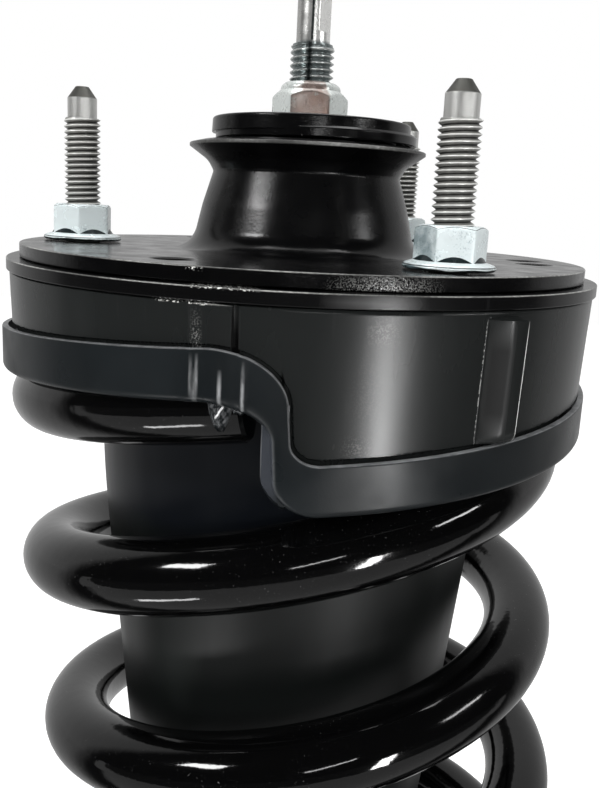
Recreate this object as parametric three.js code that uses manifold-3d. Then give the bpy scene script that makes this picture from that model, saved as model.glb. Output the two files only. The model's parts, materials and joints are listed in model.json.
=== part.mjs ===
// Front coil-over strut assembly: stud plate and tower, spring cup, side-load coil
// spring on a bowed axis, dust boot, twin-tube damper and a bar-pin lower eye.
// Millimetres, +Z up. The origin is the centre of the plate's top face.
import * as THREE from 'three';
import * as BufferGeometryUtils from 'three/addons/utils/BufferGeometryUtils.js';
import Module from 'manifold-3d';

const wasm = await Module();
wasm.setup();

// ---------------------------------------------------------------- clearances
const FIT = 0.3; // between pieces that rest on each other
const RUB = 0.5; // between a soft face and the wire that lies on it
const SLIP = 0.2; // radial play of a turned piece on its shaft
const BOLT_PLAY = 0.6; // radial play of a shank in its hole
const RING_PLAY = 0.4; // between two many-sided rings, one inside the other
const STEP_PLAY = 0.5; // degrees between the steep steps of two stacked rings
const CUT_PAST = 1; // how far a cutter runs past the face that it opens

// -------------------------------------------------------- driving dimensions
// Stud plate with its tower
const PLATE_MARGIN = 15; // plate left outside the studs' circle
const PLATE_T = 3.4;
const TOWER_WALL = 3;
const TOWER_FOOT_R = 36; // where the tower's foot fillet runs out on the plate
const TOWER_BASE_R = 31.2; // tower radius just above the fillet
const TOWER_BASE_Z = 2.8;
const TOWER_FILLET_Z = 0.56; // height of the foot fillet halfway out
const TOWER_BELLY = 0.3; // the tower's side bulges this much between base and neck
const NECK_R = 26;
const NECK_Z = 21;
const LIP_R = 32.8;
const LIP_FLARE = 1.6; // widening of the tower a third of the way from neck to lip
const LIP_Z = 27; // lowest edge of the flared lip
const LIP_T = 1.7;
const LIP_RISE = 0.7; // the lip's top climbs this much towards the cushion
const LIP_FLAT_R = 26.4;
const LIP_BORE_R = 25;

// Studs, their nuts and the plate's round holes
const STUD_BOOT_GAP = 0.4; // between the studs' heads and the boot
const STUD_AZIMUTHS = [-57.8, 58, -177.8];
const STUD_R = 4.9;
const STUD_TIP_Z = 41.5;
const STUD_TIP_R = 1.5;
const STUD_PILOT_R = 3.95;
const STUD_PILOT_L = 9.4; // unthreaded pilot with its cone
const STUD_CONE_L = 3.7;
const STUD_RUNOUT = 0.9; // cone from the thread down to the pilot
const STUD_HEAD_R = 6.1;
const STUD_HEAD_T = 3;
const STUD_NUT_AF = 14.8;
const STUD_NUT_H = 9.8;
const STUD_NUT_FLANGE_R = 10.7;
const STUD_NUT_FLANGE_T = 2.8;
const STUD_NUT_FLANGE_EDGE = 1; // upright rim of the nut's flange
const STUD_NUT_FLANGE_STEP = 0.6; // the flange's top beyond the hexagon's flats
const STUD_NUT_TURNS = [26.6, 15, 6]; // degrees that each nut stopped at
const DRAIN_HOLE_R = 4.8;
const DRAIN_OUT = 1.9; // the holes' circle lies this far outside the studs'
const DRAIN_AZIMUTHS = [-116.5, 3, 123];
const DATUM_HOLE_R = 4.6;
const DATUM_AZIMUTH = -10.8;

// Spring cup
const CUP_PLATE_OUT = 0.75; // its edge beyond the cup's wall
const CUP_PLATE_T = 3.1;
const CUP_PLATE_BORE_R = 35;
const CUP_WALL_OUT = 2.2; // the wall's outside, just below the plate, beyond the spring
const CUP_DRAFT = 0.035; // outside radius lost per millimetre of depth
const CUP_WALL_T = 3;
const CUP_SHELF_IN = 1.1; // the shelf's bore lies this far inside the spring
const CUP_SHELF_T = 3;
const CUP_RIB_AZIMUTH = -57.4;
const CUP_RIB_W = 7;
const CUP_RIB_OUT = 2.2;
const CUP_RIB_GAP = 1; // left above the rib's upper end and below its foot
const CUP_BEAD_AZIMUTH = -102.3;
const CUP_BEAD_SPAN = 3.5; // half width of the pressed bead, degrees
const CUP_BEAD_OUT = 1.3;

// Coil spring, right-handed, measured from its upper cut end downwards
const COIL_R = 68.4;
const WIRE_R = 9.5;
const COIL_TURNS = 5.9;
const COIL_PITCH = 52.5;
const COIL_CLOSING = 44.8; // pitch lost at each closed end
const COIL_CLOSED_TURNS = 0.266;
const COIL_BLEND_TURNS = 0.12;
const COIL_START_AZIMUTH = -96.5;
const COIL_START_Z = -31.5;
const COIL_START_X = -2.6;
const COIL_START_Y = 0.9;
const BOW_X = 15; // sideways bow of the spring's axis
const BOW_Y = 4;
const BOW_HALF_WAVE = 215;
const COIL_TILT_X = 0.11; // rise of a coil per millimetre towards +X
const COIL_TILT_Y = -0.047;
const COIL_STEPS_PER_TURN = 24;
const WIRE_SIDES = 8;

// Upper rubber isolator
const BAND_OUT = 1.4; // the band's reach beyond the cup's wall
const BAND_SHIFT_X = -0.8; // the band sits this far off the cup's axis
const BAND_H = 11.4;
const BAND_EDGE = 1.2; // bevel of its edges
const BAND_RAMP = 23.96; // climb of the band in one turn
const BAND_TILT = 1.55;
const BAND_LOW_Z = -39.7; // top edge just after the step
const BAND_TOP_SHOULDER = 12; // heights of the round shoulders and feet of the steps
const BAND_TOP_FOOT = 4.7;
const BAND_LOW_SHOULDER = 7.6;
const BAND_LOW_FOOT = 8;
const SHELF_SHOULDER = 10;
const SHELF_FOOT = 7.5;
const UPPER_PAD_T = 2.8;
const SKIRT_T = 2.3; // the band below the pad, down the outside of the wire
const PAD_OVERLAP = 1; // the pad never thins below this much above the band's edge
const PAD_BORE_IN = 0.5; // the pad's bore is this much wider than the shelf's
const STOP_WALL_Z = -45; // foot of the wall that the wire's end butts against
const WIRE_TAB_Z = -32.6; // a tab of the band reaches down over the wire's end

// Dust boot
const BOOT_GAP = 1.8; // between the boot and the shelf's bore
const BOOT_WALL = 2.4;
const BOOT_SHOULDER_Z = -56;
const BOOT_MID_R = 50.7;
const BOOT_MID_Z = -114;
const BOOT_MOUTH_R = 43.4;
const BOOT_MOUTH_Z = -182;
const BOOT_RING_BORE_R = 45; // ring that holds the boot up under the cup's plate
const BOOT_RING_T = 3;

// Centre bushing, washers and rod nut
const ROD_THREAD_R = 6;
const SLEEVE_WALL = 2.6;
const BUSHING_LOW_Z = -12;
const CUSHION_R = 24.4;
const CUSHION_T = 2.2;
const TOP_WASHER_R = 28.4;
const TOP_WASHER_T = 3.2;
const TOP_WASHER_RIM = 1.8; // wall of the rim that is turned down over the cushion
const TOP_WASHER_BORE_R = 8.4;
const TOP_WASHER_SHIFT_X = 1.7; // the washer was clamped this far off the axis
const LOW_WASHER_R = 24;
const LOW_WASHER_T = 3;
const ROD_NUT_AF = 18.4;
const ROD_NUT_HEX_H = 6.6;
const ROD_NUT_COLLAR_R = 9;
const ROD_NUT_COLLAR_H = 3.2;
const ROD_NUT_COLLAR_SUNK = 5; // the collar's turned body reaches this far into the hexagon
const ROD_NUT_EDGE = 0.8;
const ROD_NUT_TURN = 30; // degrees

// Damper rod
const ROD_R = 10;
const ROD_THREAD_TOP_Z = 55.5;
const ROD_TIP_R = 4.6;
const ROD_TIP_Z = 75;
const ROD_FLATS_AF = 7.4;
const ROD_FLATS_GAP = 3; // round part left between the thread and the flats
const ROD_FLATS_AZIMUTH = -35;
const ROD_EDGE = 1; // chamfers at the thread's end and the tip

// Damper body
const STROKE = 100;
const BUMP_STOP_R = 21;
const BUMP_STOP_WAIST_R = 17;
const BUMP_STOP_H = 40;
const BUMP_STOP_FOOT_R = 16.8;
const BUMP_STOP_FOOT_H = 8; // heights of its bulges and waist above its foot
const BUMP_STOP_WAIST_H = 18;
const BUMP_STOP_SHOULDER_H = 28;
const BUMP_CUP_T = 3.4;
const BUMP_CUP_WALL = 1.7;
const BUMP_CUP_RIM_H = 10;
const BUMP_STOP_GAP = 3; // left between bump stop and cap at full stroke
const TUBE_R = 26;
const TUBE_WALL = 1.8;
const TUBE_L = 288;
const CAP_T = 3.5;
const CAP_SKIRT_L = 12;
const CAP_SKIRT_T = 1.6;
const CAP_EDGE = 1.5;
const SEAL_T = 6.5;
const SEAL_LIP = 1.4;
const GUIDE_T = 20;
const INNER_TUBE_R = 19;
const INNER_TUBE_WALL = 1.5;
const REBOUND_STOP_R = 14.6;
const REBOUND_STOP_T = 8;
const PISTON_T = 18;
const PISTON_SPIGOT_R = 5.8;
const PISTON_BAND_T = 8;
const PISTON_BAND_DEPTH = 1.2;
const PISTON_NUT_AF = 16;
const PISTON_NUT_T = 7;
const BASE_VALVE_T = 14;
const BASE_VALVE_GAP = 7; // oil passage left under the base valve
const BOTTOM_CAP_T = 6;
const BOTTOM_CAP_OUT = 1.6; // its rim beyond the tube

// Lower spring seat and its pad
const SEAT_NECK_T = 3;
const SEAT_NECK_H = 16;
const SEAT_T = 3;
const SEAT_SPARE = 3.6; // between the wire and the seat's rim
const SEAT_RIM_H = 9;
const SEAT_RIM_EDGE = 2; // thickness of the rim's upper edge
const SEAT_FLOOR_IN = 2.9; // the seat's floor starts this far inside the spring
const SEAT_LEVEL_SHARE = 0.15; // slope of the seat, of the wire's, where the wire leaves it
const SEAT_LEVEL_TURNS = 0.7; // turns from the wire's lower end to there
const SEAT_SHOULDER = 8;
const SEAT_FOOT = 6;
const LOWER_PAD_T = 3;
const LOWER_PAD_IN = 0.6; // the pad's bore is this much wider than the spring's inside

// Lower eye, bushing and bar pin
const EYE_R = 26;
const EYE_WALL = 4.5;
const EYE_W = 40;
const SADDLE_R = 15;
const SADDLE_SPREAD = 4; // widening of the saddle up to the cap
const SADDLE_DROP = 6; // how far the saddle reaches down the eye's sides
const BAR_R = 9.5;
const BAR_L = 50;
const BUSHING_OVERHANG = 1.5;
const TAB_L = 27;
const TAB_W = 30;
const TAB_T = 10;
const TAB_HOLE_R = 6.25;
const TAB_SUNK = 1; // how far a tab's block runs into the bar
const TAB_HOLE_OUT = 1; // the hole lies this far beyond half the tab's length

// Fineness of round pieces
const LARGE_SIDES = 40; // plates, cup and boot
const MEDIUM_SIDES = 24; // damper body, bushings and washers
const SMALL_SIDES = 16; // studs, bores and the rod
const RING_STEP = 8; // degrees between the stepped rings' sections
const STEP_WALL = 0.4; // degrees that a step's steep wall takes
const EDGE_TURN = 0.05; // degrees just outside a tab's edge, and just inside it
const EDGE_IN = 0.25;
const SLOPE_TURNS = 0.02; // turns over which a slope of the wire is measured
const GAP_STEPS_PER_TURN = 90; // points on the wire when its least gap is measured

// ------------------------------------------------------------ worked-out sizes
const rad = THREE.MathUtils.degToRad;

const cupPlateTop = -PLATE_T - FIT;
const cupPlateLow = cupPlateTop - CUP_PLATE_T;
const cupWallTop = cupPlateLow - FIT;
const coilInnerR = COIL_R - WIRE_R;
const coilOuterR = COIL_R + WIRE_R;
const cupShelfBoreR = coilInnerR - CUP_SHELF_IN;
const cupTopR = coilOuterR + CUP_WALL_OUT;
const bandR = cupTopR + BAND_OUT;
const skirtInnerR = bandR - SKIRT_T;
const bootTopR = cupShelfBoreR - BOOT_GAP;
const studCircleR = bootTopR + STUD_BOOT_GAP + STUD_HEAD_R;
const plateR = studCircleR + PLATE_MARGIN;
const drainCircleR = studCircleR + DRAIN_OUT;
const seatRimR = coilOuterR + SEAT_SPARE;
const lipTop = LIP_Z + LIP_T + LIP_RISE;
const cushionLow = lipTop + FIT;
const topWasherLow = cushionLow + CUSHION_T + FIT;
const rodNutLow = topWasherLow + TOP_WASHER_T + FIT;
const sleeveR = ROD_THREAD_R + SLIP + SLEEVE_WALL;
const lowWasherTop = BUSHING_LOW_Z - FIT;
const rodShoulder = lowWasherTop - LOW_WASHER_T - FIT;
const bumpStopTop = rodShoulder - FIT - BUMP_CUP_T - FIT;
const capTop = bumpStopTop - BUMP_STOP_H - BUMP_STOP_GAP - STROKE;
const sealTop = capTop - CAP_T - FIT;
const guideTop = sealTop - SEAL_T - FIT;
const innerTubeTop = guideTop - GUIDE_T - FIT;
const reboundTop = innerTubeTop - FIT;
const pistonTop = reboundTop - REBOUND_STOP_T - FIT;
const pistonLow = pistonTop - PISTON_T;
const tubeTop = capTop - CAP_T - FIT;
const tubeLow = tubeTop - TUBE_L;
const bottomCapTop = tubeLow + BOTTOM_CAP_T;
const baseValveLow = bottomCapTop + BASE_VALVE_GAP;
const innerTubeLow = baseValveLow + BASE_VALVE_T / 2 + FIT;
const innerBoreR = INNER_TUBE_R - INNER_TUBE_WALL;
const eyeZ = tubeLow - FIT - EYE_R;

// ------------------------------------------------------------------- helpers
// A solid of revolution about +Z from [radius, height] points in order up the outside.
function turned(points, sides) {
  const profile = points.map(([r, z]) => new THREE.Vector2(r, z));
  const onAxis = points[0][0] === 0 && points[points.length - 1][0] === 0;
  if (!onAxis) {
    profile.push(profile[0].clone());
  }
  const geometry = new THREE.LatheGeometry(profile, sides);
  geometry.rotateX(Math.PI / 2);
  return geometry;
}

// A closed tube between two radii and two heights.
function sleeve(innerR, outerR, lowZ, topZ, sides) {
  return turned([[innerR, lowZ], [outerR, lowZ], [outerR, topZ], [innerR, topZ]], sides);
}

// A solid cylinder between two heights.
function bar(r, lowZ, topZ, sides) {
  return turned([[0, lowZ], [r, lowZ], [r, topZ], [0, topZ]], sides);
}

// A ring whose closed [radius, height] section changes with the azimuth in degrees.
function shapedRing(azimuths, sectionAt, centre = [0, 0]) {
  const sections = azimuths.map(sectionAt);
  const count = sections[0].length;
  const positions = [];
  const indices = [];
  sections.forEach((section, i) => {
    const angle = rad(azimuths[i]);
    for (const [r, z] of section) {
      positions.push(centre[0] + r * Math.cos(angle), centre[1] + r * Math.sin(angle), z);
    }
    const here = i * count;
    const next = ((i + 1) % sections.length) * count;
    for (let j = 0; j < count; j += 1) {
      const k = (j + 1) % count;
      indices.push(here + j, next + j, here + k);
      indices.push(next + k, here + k, next + j);
    }
  });
  return indexed(positions, indices);
}

function indexed(positions, indices) {
  const geometry = new THREE.BufferGeometry();
  geometry.setAttribute('position', new THREE.Float32BufferAttribute(positions, 3));
  geometry.setIndex(indices);
  return geometry;
}

// Booleans: a closed geometry as a solid, and a solid back as a geometry.
function solid(geometry) {
  const bare = geometry.clone();
  bare.deleteAttribute('normal');
  bare.deleteAttribute('uv');
  const merged = BufferGeometryUtils.mergeVertices(bare, 1e-4);
  const kept = [];
  const index = merged.index.array;
  for (let i = 0; i < index.length; i += 3) {
    const [a, b, c] = [index[i], index[i + 1], index[i + 2]];
    if (a !== b && b !== c && c !== a) {
      kept.push(a, b, c);
    }
  }
  const mesh = new wasm.Mesh({
    numProp: 3,
    vertProperties: new Float32Array(merged.attributes.position.array),
    triVerts: new Uint32Array(kept),
  });
  return new wasm.Manifold(mesh);
}

function geometryOf(manifold) {
  const mesh = manifold.getMesh();
  return indexed(Array.from(mesh.vertProperties), Array.from(mesh.triVerts));
}

function cut(geometry, tools) {
  return geometryOf(tools.reduce((body, tool) => body.subtract(solid(tool)), solid(geometry)));
}

function join(geometry, others) {
  return geometryOf(others.reduce((body, other) => body.add(solid(other)), solid(geometry)));
}

function polar(radius, azimuth) {
  return [radius * Math.cos(rad(azimuth)), radius * Math.sin(rad(azimuth))];
}

// A solid hexagonal prism.
function hexPrism(acrossFlats, lowZ, height) {
  const outline = new THREE.Shape();
  const cornerR = acrossFlats / 2 / Math.cos(Math.PI / 6);
  for (let i = 0; i < 6; i += 1) {
    const [x, y] = polar(cornerR, 60 * i + 30);
    i === 0 ? outline.moveTo(x, y) : outline.lineTo(x, y);
  }
  outline.closePath();
  const options = { depth: height, bevelEnabled: false };
  return new THREE.ExtrudeGeometry(outline, options).translate(0, 0, lowZ);
}

const root = new THREE.Group();

function add(name, geometry, finish) {
  const mesh = new THREE.Mesh(geometry, new THREE.MeshStandardMaterial(finish));
  mesh.name = name;
  root.add(mesh);
  return mesh;
}

// ------------------------------------------------------------------ finishes
const BLACK_PAINT = { color: 0x121316, roughness: 0.38, metalness: 0.1 };
const CUP_BLACK = { color: 0x191b1f, roughness: 0.55, metalness: 0.1 };
const SPRING_BLACK = { color: 0x08090a, roughness: 0.14, metalness: 0.05 };
const RUBBER = { color: 0x1c2027, roughness: 0.7, metalness: 0 };
const BOOT_BLACK = { color: 0x101216, roughness: 0.5, metalness: 0 };
const ZINC = { color: 0xc3ced4, roughness: 0.25, metalness: 0.9 };
const STUD_STEEL = { color: 0x8b8f93, roughness: 0.4, metalness: 0.9 };
const BRIGHT_STEEL = { color: 0xbfc2c6, roughness: 0.2, metalness: 1 };
const FOAM = { color: 0xb79a3a, roughness: 0.8, metalness: 0 };
const GUIDE_METAL = { color: 0x77736c, roughness: 0.6, metalness: 0.7 };

// ----------------------------------------------------------- stud plate, tower
function roundCutter(radius, holeR, azimuth) {
  const [x, y] = polar(radius, azimuth);
  const reach = PLATE_T + FIT + CUP_PLATE_T + CUT_PAST;
  return bar(holeR, -reach, reach, SMALL_SIDES).translate(x, y, 0);
}

function towerPlate() {
  const outer = [
    [plateR, -PLATE_T],
    [plateR, 0],
    [TOWER_FOOT_R, 0],
    [(TOWER_FOOT_R + TOWER_BASE_R) / 2, TOWER_FILLET_Z],
    [TOWER_BASE_R, TOWER_BASE_Z],
    [(TOWER_BASE_R + NECK_R) / 2 + TOWER_BELLY, (TOWER_BASE_Z + NECK_Z) / 2],
    [NECK_R, NECK_Z],
    [NECK_R + LIP_FLARE, (NECK_Z * 2 + LIP_Z) / 3],
    [LIP_R, LIP_Z],
  ];
  const inner = [
    [LIP_R, LIP_Z + LIP_T],
    [LIP_FLAT_R, lipTop],
    [LIP_BORE_R, lipTop],
    [NECK_R - TOWER_WALL, NECK_Z + TOWER_WALL / 2],
    [TOWER_BASE_R - TOWER_WALL, TOWER_BASE_Z - TOWER_WALL],
    [TOWER_BASE_R - TOWER_WALL, -PLATE_T],
  ];
  const holes = STUD_AZIMUTHS.map((a) => roundCutter(studCircleR, STUD_R + BOLT_PLAY, a));
  const drains = DRAIN_AZIMUTHS.map((a) => roundCutter(drainCircleR, DRAIN_HOLE_R, a));
  const datum = roundCutter(drainCircleR, DATUM_HOLE_R, DATUM_AZIMUTH);
  return cut(turned([...outer, ...inner], LARGE_SIDES), [...holes, ...drains, datum]);
}
add('tower_plate', towerPlate(), BLACK_PAINT);

// ------------------------------------------------------------ studs and nuts
const studHeadTop = cupPlateLow - FIT;
const studPilotLow = STUD_TIP_Z - STUD_PILOT_L;

function stud() {
  return turned([
    [0, studHeadTop - STUD_HEAD_T],
    [STUD_HEAD_R, studHeadTop - STUD_HEAD_T],
    [STUD_HEAD_R, studHeadTop],
    [STUD_R, studHeadTop],
    [STUD_R, studPilotLow - STUD_RUNOUT],
    [STUD_PILOT_R, studPilotLow],
    [STUD_PILOT_R, STUD_TIP_Z - STUD_CONE_L],
    [STUD_TIP_R, STUD_TIP_Z],
    [0, STUD_TIP_Z],
  ], SMALL_SIDES);
}

function studNut() {
  const hexLow = FIT + STUD_NUT_FLANGE_EDGE;
  const top = FIT + STUD_NUT_H;
  const hex = hexPrism(STUD_NUT_AF, hexLow, top - hexLow);
  const flange = turned([
    [0, FIT],
    [STUD_NUT_FLANGE_R, FIT],
    [STUD_NUT_FLANGE_R, hexLow],
    [STUD_NUT_AF / 2 + STUD_NUT_FLANGE_STEP, FIT + STUD_NUT_FLANGE_T],
    [0, FIT + STUD_NUT_FLANGE_T],
  ], MEDIUM_SIDES);
  const bore = bar(STUD_R + SLIP, FIT - CUT_PAST, top + CUT_PAST, SMALL_SIDES);
  return cut(join(flange, [hex]), [bore]);
}

STUD_AZIMUTHS.forEach((azimuth, i) => {
  const [x, y] = polar(studCircleR, azimuth);
  add(`stud_${i + 1}`, stud(), STUD_STEEL).position.set(x, y, 0);
  const nut = add(`stud_nut_${i + 1}`, studNut(), ZINC);
  nut.position.set(x, y, 0);
  nut.rotation.z = rad(STUD_NUT_TURNS[i]);
});

// -------------------------------------------------- the spring's centre line
// Drop along the axis after a number of turns from either closed end.
function closedDrop(turns) {
  const blend = COIL_BLEND_TURNS;
  const late = Math.log(1 + Math.exp((turns - COIL_CLOSED_TURNS) / blend));
  const early = Math.log(1 + Math.exp(-COIL_CLOSED_TURNS / blend));
  return COIL_CLOSING * (turns - blend * (late - early));
}
const closingTotal = closedDrop(COIL_TURNS);

function coilDrop(turns) {
  const lower = closingTotal - closedDrop(COIL_TURNS - turns);
  return COIL_PITCH * turns - closedDrop(turns) - lower;
}

function coilAxis(drop) {
  const bow = (1 - Math.cos((Math.PI * drop) / BOW_HALF_WAVE)) / 2;
  return [COIL_START_X + BOW_X * bow, COIL_START_Y + BOW_Y * bow];
}

function coilPoint(turns) {
  const drop = coilDrop(turns);
  const [cx, cy] = coilAxis(drop);
  const [dx, dy] = polar(COIL_R, COIL_START_AZIMUTH - 360 * turns);
  const z = COIL_START_Z - drop + COIL_TILT_X * dx + COIL_TILT_Y * dy;
  return new THREE.Vector3(cx + dx, cy + dy, z);
}

const coilHeight = coilDrop(COIL_TURNS);
const lowerCentre = coilAxis(coilHeight);
const coilEndAzimuth = COIL_START_AZIMUTH - 360 * COIL_TURNS;

// One unbroken wire: a ring of points around each step of the centre line.
function coilSpring() {
  const steps = Math.round(COIL_TURNS * COIL_STEPS_PER_TURN);
  const positions = [];
  const indices = [];
  for (let i = 0; i <= steps; i += 1) {
    const turns = (COIL_TURNS * i) / steps;
    const centre = coilPoint(turns);
    const along = coilPoint(turns + SLOPE_TURNS).sub(coilPoint(turns - SLOPE_TURNS)).normalize();
    const [ox, oy] = polar(1, COIL_START_AZIMUTH - 360 * turns);
    const out = new THREE.Vector3(ox, oy, 0);
    const up = new THREE.Vector3().crossVectors(out, along).normalize();
    out.crossVectors(along, up).normalize();
    for (let j = 0; j < WIRE_SIDES; j += 1) {
      const [a, b] = polar(WIRE_R, (360 * (j + 0.5)) / WIRE_SIDES);
      const point = centre.clone().addScaledVector(out, a).addScaledVector(up, b);
      positions.push(point.x, point.y, point.z);
    }
  }
  for (let i = 0; i < steps; i += 1) {
    for (let j = 0; j < WIRE_SIDES; j += 1) {
      const k = (j + 1) % WIRE_SIDES;
      const here = i * WIRE_SIDES;
      const next = here + WIRE_SIDES;
      indices.push(here + j, next + j, here + k);
      indices.push(here + k, next + j, next + k);
    }
  }
  const last = steps * WIRE_SIDES;
  for (let j = 1; j < WIRE_SIDES - 1; j += 1) {
    indices.push(0, j, j + 1);
    indices.push(last, last + j + 1, last + j);
  }
  return indexed(positions, indices);
}

// Least gap between turns of the wire, measured on points of its centre line.
function leastCoilGap() {
  const points = [];
  for (let turns = 0; turns <= COIL_TURNS; turns += 1 / GAP_STEPS_PER_TURN) {
    points.push([turns, coilPoint(turns)]);
  }
  let least = Infinity;
  for (const [ta, a] of points) {
    for (const [tb, b] of points) {
      if (tb - ta > 0.5) {
        least = Math.min(least, a.distanceTo(b));
      }
    }
  }
  return least - 2 * WIRE_R;
}
console.log(`least gap between turns of the spring: ${leastCoilGap().toFixed(2)} mm`);
add('coil_spring', coilSpring(), SPRING_BLACK);

// ------------------------------------------------ stepped seats of the spring
// A smooth fall from 0 to -drop: a round shoulder, a steep wall and a round foot that
// ends at the azimuth to.
function fall(azimuth, { from, wall, shoulder, foot }, to, drop) {
  if (azimuth <= from) {
    return 0;
  }
  if (azimuth <= wall) {
    const share = (azimuth - from) / (wall - from);
    return -shoulder * (1 - Math.sqrt(1 - share * share));
  }
  if (azimuth <= wall + STEP_WALL) {
    const share = (azimuth - wall) / STEP_WALL;
    return -shoulder - share * (drop - shoulder - foot);
  }
  if (azimuth < to) {
    const share = (to - azimuth) / (to - wall - STEP_WALL);
    return -drop + foot * (1 - Math.sqrt(1 - share * share));
  }
  return -drop;
}

// Azimuths of the upper steps: where each shoulder starts and where its wall stands.
const STEP = {
  bandTop: { from: -103, wall: -90.9, shoulder: BAND_TOP_SHOULDER, foot: BAND_TOP_FOOT },
  bandLow: { from: -104, wall: -93.5, shoulder: BAND_LOW_SHOULDER, foot: BAND_LOW_FOOT },
  shelf: { from: -102.5, wall: -92.2, shoulder: SHELF_SHOULDER, foot: SHELF_FOOT },
  low: -86,
  high: 257,
};
const STOP_WALL = -94.9;
const WIRE_TAB = [-103.4, -96.9];

// Unwraps an azimuth into the turn that starts at the step's low side.
function fromStep(azimuth) {
  let a = azimuth;
  while (a < STEP.low) {
    a += 360;
  }
  while (a >= STEP.low + 360) {
    a -= 360;
  }
  return a;
}

function bandRamp(azimuth) {
  const a = Math.min(fromStep(azimuth), STEP.high);
  const share = (a - STEP.low) / (STEP.high - STEP.low);
  return BAND_LOW_Z + BAND_RAMP * share + BAND_TILT * Math.cos(rad(a));
}

// Height of a line that climbs by ramp(azimuth) and falls back at the step.
function stepped(azimuth, ramp, shape) {
  const a = fromStep(azimuth);
  if (a < shape.from + 360) {
    return ramp(a);
  }
  const high = ramp(shape.from);
  const low = ramp(STEP.low);
  return high + fall(a - 360, shape, STEP.low, high - low);
}

const bandTop = (a) => stepped(a, bandRamp, STEP.bandTop);

function bandLow(azimuth) {
  const low = stepped(azimuth, bandRamp, STEP.bandLow) - BAND_H;
  const a = azimuth > 180 ? azimuth - 360 : azimuth;
  return a > WIRE_TAB[0] && a < WIRE_TAB[1] ? Math.min(low, WIRE_TAB_Z) : low;
}

function wireTop(azimuth) {
  const turns = (COIL_START_AZIMUTH + 360 - fromStep(azimuth)) / 360;
  return coilPoint(Math.max(turns, 0)).z + WIRE_R;
}

function padRamp(azimuth) {
  return Math.max(wireTop(azimuth) + RUB, bandRamp(azimuth) - BAND_H + PAD_OVERLAP);
}

const shelfLow = (a) => stepped(a, padRamp, STEP.shelf) + UPPER_PAD_T + FIT;

function padLow(azimuth) {
  const a = azimuth > 180 ? azimuth - 360 : azimuth;
  if (a > STOP_WALL && a < STEP.low) {
    return Math.min(bandLow(a) + PAD_OVERLAP, STOP_WALL_Z);
  }
  return padRamp(Math.min(fromStep(azimuth), COIL_START_AZIMUTH + 360));
}

// Azimuths for the stepped rings: even steps, closer together around the step.
const STEP_BENDS = [-105, -102, -100.7, -99.4, -98.1, -95.8, -94.1, -93.5, -93.1, -92.7];
STEP_BENDS.push(-92.2, -91.8, -91.4, -90.9, -90.5, -89.8, -89, -88, -87);

function ringAzimuths() {
  const list = [];
  for (let a = STEP.low; a < STEP.high - RING_STEP / 2; a += RING_STEP) {
    list.push(a);
  }
  const edges = [WIRE_TAB[0] - EDGE_TURN, WIRE_TAB[0] + EDGE_IN, WIRE_TAB[1] - EDGE_IN];
  edges.push(WIRE_TAB[1] + EDGE_TURN, STOP_WALL - EDGE_TURN, STOP_WALL + EDGE_IN);
  const fine = [...STEP_BENDS, ...edges].sort((a, b) => a - b);
  return [...list, ...fine.map((a) => a + 360)];
}

// ----------------------------------------------------------------- spring cup
function bead(azimuth) {
  const a = azimuth > 180 ? azimuth - 360 : azimuth;
  const offset = (a - CUP_BEAD_AZIMUTH) / CUP_BEAD_SPAN;
  return Math.abs(offset) < 1 ? CUP_BEAD_OUT * Math.cos((Math.PI * offset) / 2) ** 2 : 0;
}

function cupWallR(azimuth, z) {
  return cupTopR - CUP_DRAFT * (cupWallTop - z) + bead(azimuth);
}

function cupSection(azimuth) {
  const low = shelfLow(azimuth);
  const lowR = cupWallR(azimuth, low);
  const topR = cupWallR(azimuth, cupWallTop);
  return [
    [cupShelfBoreR, low],
    [lowR, low],
    [topR, cupWallTop],
    [topR - CUP_WALL_T, cupWallTop],
    [lowR - CUP_WALL_T, low + CUP_SHELF_T],
    [cupShelfBoreR, low + CUP_SHELF_T],
  ];
}

function cupRib() {
  const top = cupWallTop - CUP_RIB_GAP;
  const low = bandTop(CUP_RIB_AZIMUTH) + CUP_RIB_GAP;
  const reach = CUP_RIB_OUT + CUP_WALL_T / 2;
  const rib = new THREE.BoxGeometry(reach, CUP_RIB_W, top - low);
  const middle = cupWallR(CUP_RIB_AZIMUTH, (top + low) / 2) + CUP_RIB_OUT - reach / 2;
  rib.translate(middle, 0, (top + low) / 2);
  rib.rotateZ(rad(CUP_RIB_AZIMUTH));
  return rib;
}

add('spring_cup', join(shapedRing(ringAzimuths(), cupSection), [cupRib()]), CUP_BLACK);

// The plate between the stud plate and the cup, with holes for the studs.
function cupPlate() {
  const edgeR = cupTopR + CUP_PLATE_OUT;
  const plate = sleeve(CUP_PLATE_BORE_R, edgeR, cupPlateLow, cupPlateTop, LARGE_SIDES);
  return cut(plate, STUD_AZIMUTHS.map((a) => roundCutter(studCircleR, STUD_R + BOLT_PLAY, a)));
}
add('cup_plate', cupPlate(), CUP_BLACK);

// ------------------------------------------------------------ upper isolator
function isolatorSection(azimuth) {
  const top = bandTop(azimuth);
  const low = bandLow(azimuth);
  const pad = shelfLow(azimuth + STEP_PLAY) - FIT;
  const under = padLow(azimuth);
  const outerR = bandR + BAND_SHIFT_X * Math.cos(rad(azimuth)) + bead(azimuth);
  const innerR = cupWallR(azimuth, pad) + RING_PLAY;
  return [
    [outerR - BAND_EDGE, low],
    [outerR, low + BAND_EDGE],
    [outerR, top - BAND_EDGE / 2],
    [outerR - BAND_EDGE / 2, top],
    [cupWallR(azimuth, top) + RING_PLAY, top],
    [innerR, pad],
    [cupShelfBoreR + PAD_BORE_IN, pad],
    [cupShelfBoreR + PAD_BORE_IN, under],
    [skirtInnerR, under],
    [skirtInnerR, low],
  ];
}
add('upper_isolator', shapedRing(ringAzimuths(), isolatorSection), RUBBER);

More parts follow.
